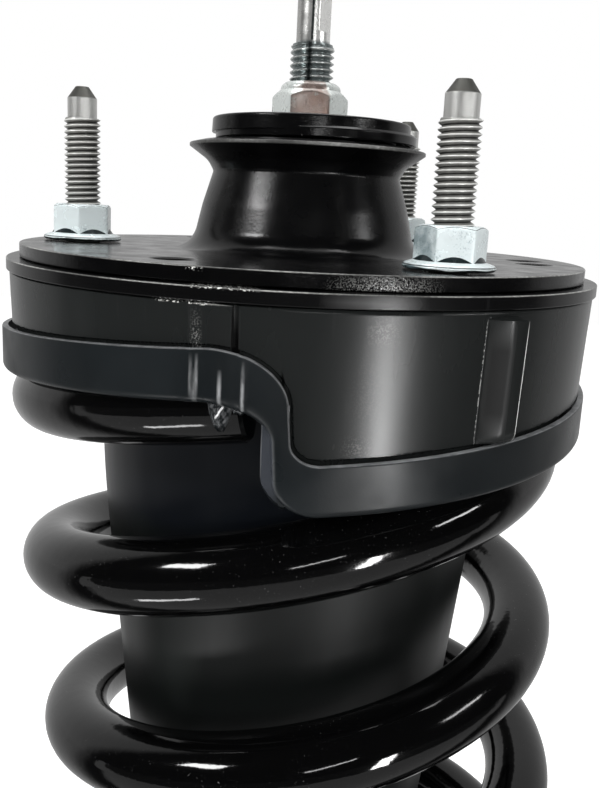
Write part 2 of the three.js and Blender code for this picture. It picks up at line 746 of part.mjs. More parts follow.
// ------------------------------------------------------------------ dust boot
function dustBoot() {
  const top = cupPlateLow - FIT;
  const outer = [
    [BOOT_MOUTH_R, BOOT_MOUTH_Z],
    [BOOT_MID_R, BOOT_MID_Z],
    [bootTopR, BOOT_SHOULDER_Z],
    [bootTopR, top],
  ];
  const inner = [...outer].reverse().map(([r, z]) => [r - BOOT_WALL, z]);
  return turned([...outer, ...inner], LARGE_SIDES);
}
add('dust_boot', dustBoot(), BOOT_BLACK);

add('boot_ring', sleeve(
  BOOT_RING_BORE_R,
  bootTopR - BOOT_WALL - FIT,
  cupPlateLow - FIT - BOOT_RING_T,
  cupPlateLow - FIT,
  LARGE_SIDES,
), BOOT_BLACK);

// ------------------------------------- centre bushing, washers and rod nut
function centreBushing() {
  const innerR = sleeveR + FIT;
  return turned([
    [innerR, BUSHING_LOW_Z],
    [TOWER_BASE_R - TOWER_WALL - FIT, BUSHING_LOW_Z],
    [TOWER_BASE_R - TOWER_WALL - FIT, TOWER_BASE_Z - TOWER_WALL - FIT],
    [NECK_R - TOWER_WALL - FIT, NECK_Z + TOWER_WALL / 2],
    [NECK_R - TOWER_WALL - FIT, lipTop],
    [innerR, lipTop],
  ], MEDIUM_SIDES);
}
add('centre_bushing', centreBushing(), RUBBER);

add('centre_sleeve', sleeve(
  ROD_THREAD_R + SLIP,
  sleeveR,
  BUSHING_LOW_Z,
  topWasherLow - FIT,
  SMALL_SIDES,
), GUIDE_METAL);

add('top_cushion', sleeve(
  sleeveR + FIT,
  CUSHION_R,
  cushionLow,
  cushionLow + CUSHION_T,
  MEDIUM_SIDES,
), RUBBER);

// A dished washer whose rim reaches down round the cushion.
function topWasher() {
  const rimLow = lipTop + FIT;
  const top = topWasherLow + TOP_WASHER_T;
  const round = TOP_WASHER_T * 0.6;
  return turned([
    [TOP_WASHER_BORE_R, topWasherLow],
    [TOP_WASHER_R - TOP_WASHER_RIM, topWasherLow],
    [TOP_WASHER_R - TOP_WASHER_RIM, rimLow],
    [TOP_WASHER_R, rimLow],
    [TOP_WASHER_R, top - round],
    [TOP_WASHER_R - round / 3, top - round / 3],
    [TOP_WASHER_R - round, top],
    [TOP_WASHER_BORE_R, top],
  ], MEDIUM_SIDES);
}
add('top_washer', topWasher(), BLACK_PAINT).position.x = TOP_WASHER_SHIFT_X;

add('low_washer', sleeve(
  ROD_THREAD_R + SLIP,
  LOW_WASHER_R,
  lowWasherTop - LOW_WASHER_T,
  lowWasherTop,
  MEDIUM_SIDES,
), BLACK_PAINT);

function rodNut() {
  const hex = hexPrism(ROD_NUT_AF, rodNutLow, ROD_NUT_HEX_H);
  const collarTop = rodNutLow + ROD_NUT_HEX_H + ROD_NUT_COLLAR_H;
  const collarLow = rodNutLow + ROD_NUT_HEX_H - ROD_NUT_COLLAR_SUNK;
  const collar = turned([
    [0, collarLow],
    [ROD_NUT_COLLAR_R, collarLow],
    [ROD_NUT_COLLAR_R, collarTop - ROD_NUT_EDGE],
    [ROD_NUT_COLLAR_R - ROD_NUT_EDGE, collarTop],
    [0, collarTop],
  ], MEDIUM_SIDES);
  const bore = bar(ROD_THREAD_R + SLIP, rodNutLow - CUT_PAST, collarTop + CUT_PAST, SMALL_SIDES);
  return cut(join(hex, [collar]), [bore]);
}
add('rod_nut', rodNut(), ZINC).rotation.z = rad(ROD_NUT_TURN);

// ----------------------------------------------------------------- damper rod
function damperRod() {
  const rod = turned([
    [0, pistonLow - PISTON_NUT_T - 2 * FIT],
    [PISTON_SPIGOT_R, pistonLow - PISTON_NUT_T - 2 * FIT],
    [PISTON_SPIGOT_R, pistonTop + FIT],
    [ROD_R, pistonTop + FIT],
    [ROD_R, rodShoulder],
    [ROD_THREAD_R, rodShoulder],
    [ROD_THREAD_R, ROD_THREAD_TOP_Z - ROD_EDGE],
    [ROD_TIP_R, ROD_THREAD_TOP_Z],
    [ROD_TIP_R, ROD_TIP_Z - ROD_EDGE],
    [ROD_TIP_R - ROD_EDGE, ROD_TIP_Z],
    [0, ROD_TIP_Z],
  ], SMALL_SIDES);
  const flatLow = ROD_THREAD_TOP_Z + ROD_FLATS_GAP;
  const depth = 2 * ROD_TIP_R;
  const flats = [-1, 1].map((side) => {
    const block = new THREE.BoxGeometry(depth, 4 * ROD_TIP_R, depth + ROD_TIP_Z - flatLow);
    block.translate(side * (ROD_FLATS_AF / 2 + depth / 2), 0, (ROD_TIP_Z + flatLow + depth) / 2);
    return block.rotateZ(rad(ROD_FLATS_AZIMUTH));
  });
  return cut(rod, flats);
}
add('damper_rod', damperRod(), BRIGHT_STEEL);

// A moulded foam bump stop with one waist.
function bumpStop() {
  const low = bumpStopTop - BUMP_STOP_H;
  const innerR = ROD_R + FIT;
  return turned([
    [innerR, low],
    [BUMP_STOP_FOOT_R, low],
    [BUMP_STOP_R, low + BUMP_STOP_FOOT_H],
    [BUMP_STOP_WAIST_R, low + BUMP_STOP_WAIST_H],
    [BUMP_STOP_R, low + BUMP_STOP_SHOULDER_H],
    [BUMP_STOP_R, bumpStopTop],
    [innerR, bumpStopTop],
  ], MEDIUM_SIDES);
}
add('bump_stop', bumpStop(), FOAM);

add('bump_cup', turned([
  [ROD_R + SLIP, bumpStopTop + FIT],
  [BUMP_STOP_R + FIT, bumpStopTop + FIT],
  [BUMP_STOP_R + FIT, bumpStopTop - BUMP_CUP_RIM_H],
  [BUMP_STOP_R + FIT + BUMP_CUP_WALL, bumpStopTop - BUMP_CUP_RIM_H],
  [BUMP_STOP_R + FIT + BUMP_CUP_WALL, rodShoulder - FIT],
  [ROD_R + SLIP, rodShoulder - FIT],
], MEDIUM_SIDES), BLACK_PAINT);

// ------------------------------------------------------- piston on the rod end
add('rebound_stop', sleeve(
  ROD_R + SLIP,
  REBOUND_STOP_R,
  reboundTop - REBOUND_STOP_T,
  reboundTop,
  SMALL_SIDES,
), RUBBER);

const pistonR = innerBoreR - FIT;
const bandGrooveR = pistonR - PISTON_BAND_DEPTH;
const bandMidZ = (pistonTop + pistonLow) / 2;

function piston() {
  return turned([
    [PISTON_SPIGOT_R + SLIP, pistonLow],
    [pistonR, pistonLow],
    [pistonR, bandMidZ - PISTON_BAND_T / 2],
    [bandGrooveR, bandMidZ - PISTON_BAND_T / 2],
    [bandGrooveR, bandMidZ + PISTON_BAND_T / 2],
    [pistonR, bandMidZ + PISTON_BAND_T / 2],
    [pistonR, pistonTop],
    [PISTON_SPIGOT_R + SLIP, pistonTop],
  ], MEDIUM_SIDES);
}
add('piston', piston(), GUIDE_METAL);

add('piston_band', sleeve(
  bandGrooveR + SLIP / 2,
  pistonR + FIT / 3,
  bandMidZ - PISTON_BAND_T / 2 + FIT,
  bandMidZ + PISTON_BAND_T / 2 - FIT,
  MEDIUM_SIDES,
), RUBBER);

function pistonNut() {
  const low = pistonLow - FIT - PISTON_NUT_T;
  const bore = bar(PISTON_SPIGOT_R + SLIP, low - CUT_PAST, pistonLow, SMALL_SIDES);
  return cut(hexPrism(PISTON_NUT_AF, low, PISTON_NUT_T), [bore]);
}
add('piston_nut', pistonNut(), ZINC);

// ---------------------------------------------------------------- damper body
add('damper_tube', sleeve(TUBE_R - TUBE_WALL, TUBE_R, tubeLow, tubeTop, MEDIUM_SIDES), BLACK_PAINT);

function tubeCap() {
  const outerR = TUBE_R + FIT + CAP_SKIRT_T;
  return turned([
    [ROD_R + SLIP, capTop - CAP_T],
    [TUBE_R + FIT, capTop - CAP_T],
    [TUBE_R + FIT, capTop - CAP_T - CAP_SKIRT_L],
    [outerR, capTop - CAP_T - CAP_SKIRT_L],
    [outerR, capTop - CAP_EDGE],
    [outerR - CAP_EDGE, capTop],
    [ROD_R + SLIP, capTop],
  ], MEDIUM_SIDES);
}
add('tube_cap', tubeCap(), BLACK_PAINT);

add('rod_seal', sleeve(
  ROD_R + SLIP,
  TUBE_R - TUBE_WALL - FIT - SEAL_LIP,
  sealTop - SEAL_T,
  sealTop,
  MEDIUM_SIDES,
), RUBBER);

function rodGuide() {
  const fullR = TUBE_R - TUBE_WALL - FIT;
  const pilotR = innerBoreR - FIT;
  return turned([
    [ROD_R + SLIP, innerTubeTop - FIT / 2],
    [pilotR, innerTubeTop - FIT / 2],
    [pilotR, innerTubeTop + FIT],
    [fullR, innerTubeTop + FIT],
    [fullR, guideTop],
    [ROD_R + SLIP, guideTop],
  ], MEDIUM_SIDES);
}
add('rod_guide', rodGuide(), GUIDE_METAL);

add('inner_tube', sleeve(innerBoreR, INNER_TUBE_R, innerTubeLow, innerTubeTop, MEDIUM_SIDES), BRIGHT_STEEL);

function baseValve() {
  return turned([
    [0, baseValveLow],
    [INNER_TUBE_R, baseValveLow],
    [INNER_TUBE_R, innerTubeLow - FIT],
    [innerBoreR - FIT, innerTubeLow - FIT],
    [innerBoreR - FIT, baseValveLow + BASE_VALVE_T],
    [0, baseValveLow + BASE_VALVE_T],
  ], MEDIUM_SIDES);
}
add('base_valve', baseValve(), GUIDE_METAL);

// The eye lies across the damper, so its pieces are turned about +X.
function acrossX(geometry) {
  return geometry.rotateY(Math.PI / 2).translate(0, 0, eyeZ);
}

function bottomCap() {
  const plugR = TUBE_R - TUBE_WALL - FIT;
  const foot = TUBE_R + BOTTOM_CAP_OUT;
  const cap = turned([
    [0, eyeZ + EYE_R - SADDLE_DROP],
    [SADDLE_R, eyeZ + EYE_R - SADDLE_DROP],
    [SADDLE_R + SADDLE_SPREAD, tubeLow - BOTTOM_CAP_T / 2],
    [foot, tubeLow - BOTTOM_CAP_T / 2],
    [foot, tubeLow - FIT],
    [plugR, tubeLow - FIT],
    [plugR, bottomCapTop],
    [0, bottomCapTop],
  ], MEDIUM_SIDES);
  return cut(cap, [acrossX(bar(EYE_R + FIT, -EYE_W, EYE_W, MEDIUM_SIDES))]);
}
add('bottom_cap', bottomCap(), BLACK_PAINT);

// -------------------------------------------------------- lower spring seat
const lowerStep = { from: -20, wall: -9, shoulder: SEAT_SHOULDER, foot: SEAT_FOOT };
const lowerStepFoot = -3; // degrees before the wire's lower cut end
const seatSpan = 360 + lowerStep.from;

// Turns climbed from the wire's lower cut end at an azimuth, from 0 to 1.
function lowerTurns(azimuth) {
  const degrees = azimuth - coilEndAzimuth;
  return degrees / 360 - Math.floor(degrees / 360);
}

function wireUnder(turns) {
  return coilPoint(COIL_TURNS - turns).z - WIRE_R;
}

// Underside of the wire all round, falling back to the cut end after a full turn.
function seatLine(azimuth) {
  const degrees = lowerTurns(azimuth) * 360;
  const leave = SEAT_LEVEL_TURNS;
  const slope = (wireUnder(leave) - wireUnder(leave - SLOPE_TURNS)) / SLOPE_TURNS;
  const climb = (turns) => (turns < leave
    ? wireUnder(turns)
    : wireUnder(leave) + slope * SEAT_LEVEL_SHARE * (turns - leave));
  if (degrees < seatSpan) {
    return climb(degrees / 360);
  }
  const high = climb(seatSpan / 360);
  return high + fall(degrees - 360, lowerStep, lowerStepFoot, high - wireUnder(0));
}

// Distance from the seat's centre to a circle about the damper's axis.
function toDamperCircle(radius, azimuth) {
  const [ux, uy] = polar(1, azimuth);
  const along = -(lowerCentre[0] * ux + lowerCentre[1] * uy);
  const offset = lowerCentre[0] ** 2 + lowerCentre[1] ** 2;
  return along + Math.sqrt(along * along - offset + radius * radius);
}

// Degrees from the wire's lower cut end where the lower step bends.
const LOWER_BENDS = [341, 344, 347, 349, 350.6, 351.4, 353, 355, 357];

function lowerAzimuths() {
  const list = [];
  for (let a = 0; a < seatSpan; a += RING_STEP) {
    list.push(a);
  }
  return [...list, ...LOWER_BENDS].map((a) => a + coilEndAzimuth);
}

const neckLow = coilPoint(COIL_TURNS).z - WIRE_R - SEAT_NECK_H;

function lowerSeatSection(azimuth) {
  const floor = seatLine(azimuth) - RUB - LOWER_PAD_T - FIT;
  const inner = toDamperCircle(TUBE_R + RING_PLAY, azimuth);
  const outer = toDamperCircle(TUBE_R + RING_PLAY + SEAT_NECK_T, azimuth);
  return [
    [inner, neckLow],
    [outer, neckLow],
    [coilInnerR - SEAT_FLOOR_IN + SEAT_T, floor - SEAT_T],
    [seatRimR, floor - SEAT_T],
    [seatRimR + SEAT_T, floor],
    [seatRimR + SEAT_T, floor + SEAT_RIM_H],
    [seatRimR + SEAT_T - SEAT_RIM_EDGE, floor + SEAT_RIM_H],
    [seatRimR, floor],
    [coilInnerR - SEAT_FLOOR_IN, floor],
    [outer, neckLow + SEAT_NECK_H],
    [inner, neckLow + SEAT_NECK_H],
  ];
}
add('lower_seat', shapedRing(lowerAzimuths(), lowerSeatSection, lowerCentre), BLACK_PAINT);

function lowerPadSection(azimuth) {
  const top = seatLine(azimuth - STEP_PLAY) - RUB;
  return [
    [coilInnerR + LOWER_PAD_IN, top - LOWER_PAD_T],
    [seatRimR - FIT, top - LOWER_PAD_T],
    [seatRimR - FIT, top],
    [coilInnerR + LOWER_PAD_IN, top],
  ];
}
add('lower_pad', shapedRing(lowerAzimuths(), lowerPadSection, lowerCentre), RUBBER);

// ------------------------------------------------- lower eye and its bar pin
const eyeBoreR = EYE_R - EYE_WALL;
const halfEye = EYE_W / 2;
add('eye_ring', acrossX(sleeve(eyeBoreR, EYE_R, -halfEye, halfEye, MEDIUM_SIDES)), BLACK_PAINT);

const bushingHalf = halfEye + BUSHING_OVERHANG;
add('eye_bushing', acrossX(sleeve(
  BAR_R + SLIP,
  eyeBoreR - FIT,
  -bushingHalf,
  bushingHalf,
  MEDIUM_SIDES,
)), RUBBER);

// A round bar forged flat at both ends, with a bolt hole through each tab.
function barPin() {
  const shaft = acrossX(bar(BAR_R, -BAR_L / 2, BAR_L / 2, SMALL_SIDES));
  const tabs = [-1, 1].map((side) => {
    const tab = new THREE.BoxGeometry(TAB_L, TAB_W, TAB_T);
    return tab.translate(side * (BAR_L / 2 + TAB_L / 2 - TAB_SUNK), 0, eyeZ);
  });
  const holes = [-1, 1].map((side) => {
    const hole = bar(TAB_HOLE_R, -TAB_T, TAB_T, SMALL_SIDES);
    return hole.translate(side * (BAR_L / 2 + TAB_L / 2 + TAB_HOLE_OUT), 0, eyeZ);
  });
  return cut(join(shaft, tabs), holes);
}
add('bar_pin', barPin(), BLACK_PAINT);

export default root;
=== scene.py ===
"""A coil-over strut seen from the side of its stud plate, on a pale studio floor.

Every piece is built in millimetres in the part's own frame and scaled to metres at the end.
Azimuths are in degrees about +Z, and the spring's step faces -Y, towards the camera.
"""
import json
import math

import bmesh
import bpy
import numpy as np
from mathutils import Matrix, Quaternion, Vector

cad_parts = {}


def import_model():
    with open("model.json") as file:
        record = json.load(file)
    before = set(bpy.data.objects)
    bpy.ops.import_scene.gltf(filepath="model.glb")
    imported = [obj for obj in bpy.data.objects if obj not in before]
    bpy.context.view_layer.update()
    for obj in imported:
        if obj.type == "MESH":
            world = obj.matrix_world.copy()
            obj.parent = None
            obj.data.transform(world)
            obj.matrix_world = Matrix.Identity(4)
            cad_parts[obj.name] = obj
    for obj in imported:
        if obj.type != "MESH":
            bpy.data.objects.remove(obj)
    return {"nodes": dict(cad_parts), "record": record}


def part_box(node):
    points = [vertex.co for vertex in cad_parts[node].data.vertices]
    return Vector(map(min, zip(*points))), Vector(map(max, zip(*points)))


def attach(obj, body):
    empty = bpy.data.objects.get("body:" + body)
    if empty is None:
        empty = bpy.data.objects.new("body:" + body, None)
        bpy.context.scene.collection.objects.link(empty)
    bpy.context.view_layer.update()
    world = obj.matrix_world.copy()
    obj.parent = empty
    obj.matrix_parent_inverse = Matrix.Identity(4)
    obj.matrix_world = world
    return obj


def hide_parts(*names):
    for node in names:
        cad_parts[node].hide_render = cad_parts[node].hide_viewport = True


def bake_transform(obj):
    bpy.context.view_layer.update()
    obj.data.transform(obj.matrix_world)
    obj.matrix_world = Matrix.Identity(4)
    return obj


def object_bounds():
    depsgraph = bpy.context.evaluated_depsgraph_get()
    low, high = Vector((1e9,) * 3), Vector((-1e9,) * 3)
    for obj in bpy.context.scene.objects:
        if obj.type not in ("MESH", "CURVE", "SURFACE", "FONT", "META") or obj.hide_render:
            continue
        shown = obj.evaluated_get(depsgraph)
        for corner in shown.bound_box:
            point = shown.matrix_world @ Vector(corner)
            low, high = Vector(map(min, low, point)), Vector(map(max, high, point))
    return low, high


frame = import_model()
CAD_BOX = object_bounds()
MM = 0.001


def box(node):
    """Lowest and highest corner of a node, in millimetres."""
    low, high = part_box(node)
    return Vector(low) / MM, Vector(high) / MM


def span(node):
    """Lowest and highest point of a node, in millimetres."""
    low, high = box(node)
    return low.z, high.z


def in_scene(name, data):
    """A new object in the scene."""
    made = bpy.data.objects.new(name, data)
    bpy.context.scene.collection.objects.link(made)
    return made


# -------------------- camera
PHOTO_HEIGHT = 788  # pixels
FOCAL_PIXELS = 875.46
CAMERA_AT = Vector((0, -253.9, 13.71)) * MM
CAMERA_DOWN = 0.216047  # radians
CAMERA_TURN = 0.004613
CAMERA_ROLL = 0.049228


def add_camera():
    data = bpy.data.cameras.new("camera")
    data.sensor_width = 36
    data.lens = FOCAL_PIXELS * data.sensor_width / PHOTO_HEIGHT
    data.clip_start = 0.01
    camera = in_scene("camera", data)
    aim = Vector((
        math.sin(CAMERA_TURN) * math.cos(CAMERA_DOWN),
        math.cos(CAMERA_TURN) * math.cos(CAMERA_DOWN),
        -math.sin(CAMERA_DOWN),
    ))
    level = Vector((math.cos(CAMERA_TURN), -math.sin(CAMERA_TURN), 0))
    up = level.cross(aim)
    right = math.cos(CAMERA_ROLL) * level + math.sin(CAMERA_ROLL) * up
    top = math.cos(CAMERA_ROLL) * up - math.sin(CAMERA_ROLL) * level
    turned = Matrix((right, top, -aim)).transposed().to_4x4()
    camera.matrix_world = Matrix.Translation(CAMERA_AT) @ turned
    bpy.context.scene.camera = camera


add_camera()


# -------------------- places the paint shares
PLATE_R = 77.5
LIP_R = 32.8  # the tower's open end
CUP_PLATE_R, CUP_PLATE_TOP = 80.85, -3.7
CUP_TOP = -7.1
STUD_AT = [-57.8, 58, -177.8]  # azimuths
STUD_CIRCLE = 62.5
STUD_R, STUD_PITCH = 4.9, 1.5
STUD_TOP = box("stud_1")[1].z
THREAD_TOP = STUD_TOP - 8.3
CONE_FOOT = STUD_TOP - 3.1
RIB_START, RIB_WIDTH = -60.2, 6.45  # degrees
RIB_TOP = -8.5
ROD_THREAD_R, ROD_PITCH, ROD_THREAD_LOW, ROD_THREAD_TOP = 6, 1.75, 34, 55.5
ROD_COLLAR_LOW = box("rod_nut")[1].z - 4.2
# painted highlight specks on the cup where lamps reflect in its grainy paint: azimuth, half width,
# lowest and highest point, paleness
HIGHLIGHT_SPECKS = [
    (-105.1, 1.1, -23, -7.6, 0.13), (-77.5, 3.0, -15, -7.8, 0.09), (-79.5, 3.5, -38, -12, 0.022),
    (-80.5, 3.0, -39, -33, 0.06),
]
# painted highlights on the creases in the isolator's band: azimuth, half width, lowest and highest
# point, paleness
CREASE_HIGHLIGHTS = [
    (-105.35, 0.35, -27, -17, 0.2), (-104.45, 0.35, -27, -17, 0.24), (-104.8, 0.5, -29, -20, 0.16),
    (-101.0, 0.4, -30, -20, 0.32), (-97.65, 0.35, -33, -18, 0.28),
]


def polar(radius, azimuth):
    return radius * math.cos(math.radians(azimuth)), radius * math.sin(math.radians(azimuth))


# -------------------- nodes and materials
class Nodes:
    """Short ways to add nodes to a tree and to do sums with them."""

    def __init__(self, tree):
        self.tree = tree

    def add(self, kind, **settings):
        node = self.tree.nodes.new(kind)
        for key, value in settings.items():
            setattr(node, key, value)
        return node

    def join(self, source, target):
        self.tree.links.new(source, target)

    def math(self, operation, first, second=0.0):
        node = self.add("ShaderNodeMath", operation=operation)
        for socket, value in zip(node.inputs, (first, second)):
            if isinstance(value, (int, float)):
                socket.default_value = value
            else:
                self.join(value, socket)
        return node.outputs[0]

    def times(self, *masks):
        product = masks[0]
        for mask in masks[1:]:
            product = self.math("MULTIPLY", product, mask)
        return product

    def between(self, value, low, high, to_low=0.0, to_high=1.0):
        """Maps a value's range low to high onto to_low to to_high, and holds it there."""
        node = self.add("ShaderNodeMapRange")
        limits = {"From Min": low, "From Max": high, "To Min": to_low, "To Max": to_high}
        for socket, limit in limits.items():
            node.inputs[socket].default_value = limit
        self.join(value, node.inputs["Value"])
        return node.outputs["Result"]

    def near(self, value, middle, full, gone):
        """1 within full of the middle and 0 from gone on."""
        off = self.math("ABSOLUTE", self.math("SUBTRACT", value, middle))
        return self.between(off, full, gone, 1, 0)

    def split(self, vector):
        node = self.add("ShaderNodeSeparateXYZ")
        self.join(vector, node.inputs[0])
        return node.outputs

    def mixed(self, share, first, second):
        """The output of a mix of two shaders, the second where the share is 1."""
        node = self.add("ShaderNodeMixShader")
        for socket, source in zip(node.inputs, (share, first, second)):
            self.join(source, socket)
        return node.outputs[0]


class Paint(Nodes):
    """A Principled material whose detail comes from noise and places in the object's own space.

    Noise scales are in features per metre, and places are in millimetres.
    """

    def __init__(self, name, color, roughness, metallic=0.0, specular=0.5):
        self.name = name
        self.material = bpy.data.materials.new(name)
        self.material.use_nodes = True
        super().__init__(self.material.node_tree)
        self.shader = self.tree.nodes["Principled BSDF"]
        self.color = (*color, 1)
        for socket, value in [
            ("Base Color", self.color), ("Roughness", roughness), ("Metallic", metallic),
            ("Specular IOR Level", specular),
        ]:
            self.shader.inputs[socket].default_value = value
        self.place = self.add("ShaderNodeTexCoord").outputs["Object"]
        self.normal = None

    def noise(self, scale, detail, stretch=(1, 1, 1)):
        """Noise squeezed along each axis by stretch."""
        mapping = self.add("ShaderNodeMapping")
        mapping.inputs["Scale"].default_value = stretch
        self.join(self.place, mapping.inputs["Vector"])
        node = self.add("ShaderNodeTexNoise")
        node.inputs["Scale"].default_value = scale
        node.inputs["Detail"].default_value = detail
        self.join(mapping.outputs["Vector"], node.inputs["Vector"])
        return node.outputs["Fac"]

    def mottle(self, scale, detail, low, high, to_low=0.0, to_high=1.0, stretch=(1, 1, 1)):
        return self.between(self.noise(scale, detail, stretch), low, high, to_low, to_high)

    def xyz(self):
        node = self.add("ShaderNodeVectorMath", operation="SCALE")
        self.join(self.place, node.inputs[0])
        node.inputs["Scale"].default_value = 1 / MM
        return self.split(node.outputs[0])

    def distance(self, x, y):
        return self.math("POWER", self.math("ADD", self.times(x, x), self.times(y, y)), 0.5)

    def radius_and_height(self):
        """Distance from the rod's axis and height."""
        x, y, z = self.xyz()
        return self.distance(x, y), z

    def facing(self):
        """The surface's direction as x, y and z."""
        return self.split(self.add("ShaderNodeTexCoord").outputs["Normal"])

    def outward(self):
        """How far the surface faces straight away from the rod's axis, and how far up."""
        nx, ny, nz = self.facing()
        x, y, _ = self.xyz()
        along = self.math("ADD", self.times(nx, x), self.times(ny, y))
        return self.math("DIVIDE", along, self.distance(x, y)), nz

    def strip(self, azimuth, half, low, high, soft=0.3, slant=0.0):
        """1 between two heights near an azimuth; slant is in degrees per millimetre up.

        soft is the share of the strip that fades.
        """
        x, y, z = self.xyz()
        turn = self.math("DEGREES", self.math("ARCTAN2", y, x))
        if slant:
            rise = self.math("SUBTRACT", z, (low + high) / 2)
            turn = self.math("SUBTRACT", turn, self.times(rise, slant))
        end = (high - low) * soft / 2
        return self.times(
            self.near(turn, azimuth, half * (1 - soft), half),
            self.between(z, low, low + end), self.between(z, high - end, high, 1, 0),
        )

    def tint(self, color, *masks):
        """Lays a colour, or a grey, over the base wherever all the masks are 1."""
        node = self.add("ShaderNodeMix", data_type="RGBA")
        target = self.shader.inputs["Base Color"]
        if target.is_linked:
            self.join(target.links[0].from_socket, node.inputs["A"])
        else:
            node.inputs["A"].default_value = self.color
        color = color if isinstance(color, tuple) else (color, color, color)
        node.inputs["B"].default_value = (*color, 1)
        self.join(self.times(*masks), node.inputs["Factor"])
        self.join(node.outputs["Result"], target)

    def rough(self, value):
        self.join(value, self.shader.inputs["Roughness"])

    def rough_noise(self, scale, detail, low, high, stretch=(1, 1, 1)):
        self.rough(self.mottle(scale, detail, 0.3, 0.7, low, high, stretch))

    def bump(self, height, distance):
        """Adds relief; distance is its depth in millimetres."""
        node = self.add("ShaderNodeBump")
        node.inputs["Distance"].default_value = distance * MM
        self.join(height, node.inputs["Height"])
        if self.normal is not None:
            self.join(self.normal, node.inputs["Normal"])
        self.normal = node.outputs["Normal"]
        self.join(self.normal, self.shader.inputs["Normal"])
        return self

    def orange_peel(self, size, depth):
        """The fine waviness of sprayed or powder-coated paint, with features this many mm wide."""
        return self.bump(self.noise(1 / (size * MM), 1.5), depth)

    def dust(self, amount, color=(0.22, 0.22, 0.21)):
        """Fine pale specks on a share of the surface."""
        specks = self.mottle(2600, 1, 0.74 - amount, 0.77 - amount)
        self.tint(color, specks, self.mottle(60, 2, 0.42, 0.62))

    def scratches(self, strength, squeeze):
        lines = self.mottle(420, 4, 0.66, 0.74, 0, strength, (1, 1, squeeze))
        self.tint((0.05, 0.05, 0.052), lines)

    def worn_and_lit_rim(self, radius, height, reach=0.34, wear=0.5):
        """A thin pale line round a disc's edge, broken here and there: partly worn paint, partly a
        painted highlight along the edge.
        """
        r, z = self.radius_and_height()
        self.tint(
            (0.4, 0.4, 0.385), self.between(r, radius - reach, radius - reach * 0.3),
            self.near(z, height, reach * 0.4, reach),
            self.mottle(1100, 3, wear - 0.2, wear + 0.2, 0.4, 1),
            self.mottle(40, 1, 0.42, 0.58, 0.3, 1),
        )

    def chips(self, azimuth, half, height):
        """Small bare chips along a rim."""
        rim = self.strip(azimuth, half, height - 0.5, height + 0.5, 0.4)
        self.tint((0.7, 0.7, 0.67), rim, self.mottle(1800, 2, 0.55, 0.62))


def tower_paint():
    paint = Paint("tower_paint", (0.0018, 0.0018, 0.002), 0.3, specular=0.34)
    r, z = paint.radius_and_height()
    neck = paint.between(z, 3, 8, 0, 0.08)
    paint.rough(paint.math("ADD", paint.mottle(120, 4, 0.3, 0.7, 0.13, 0.26), neck))
    # pale rims on the plate's edge and the lip: partly worn paint, partly painted highlight
    paint.worn_and_lit_rim(PLATE_R, 0)
    paint.worn_and_lit_rim(LIP_R + 0.1, 27.9, 0.7, 0.72)
    # painted highlight: pale specks on the plate's edge where a lamp reflects
    specks = paint.mottle(3000, 1, 0.48, 0.62)
    on_edge = paint.between(r, PLATE_R - 0.5, PLATE_R - 0.2)
    paint.tint((0.27, 0.27, 0.26), paint.strip(-77, 10, -6, 0.2, 0.9), on_edge, specks)
    paint.chips(-106.5, 1.5, -0.6)
    sheared = paint.between(r, PLATE_R - 0.3, PLATE_R - 0.05)
    paint.bump(paint.times(paint.noise(2100, 1), sheared), 0.04)
    paint.orange_peel(5, 0.035)
    return paint.orange_peel(0.7, 0.021)


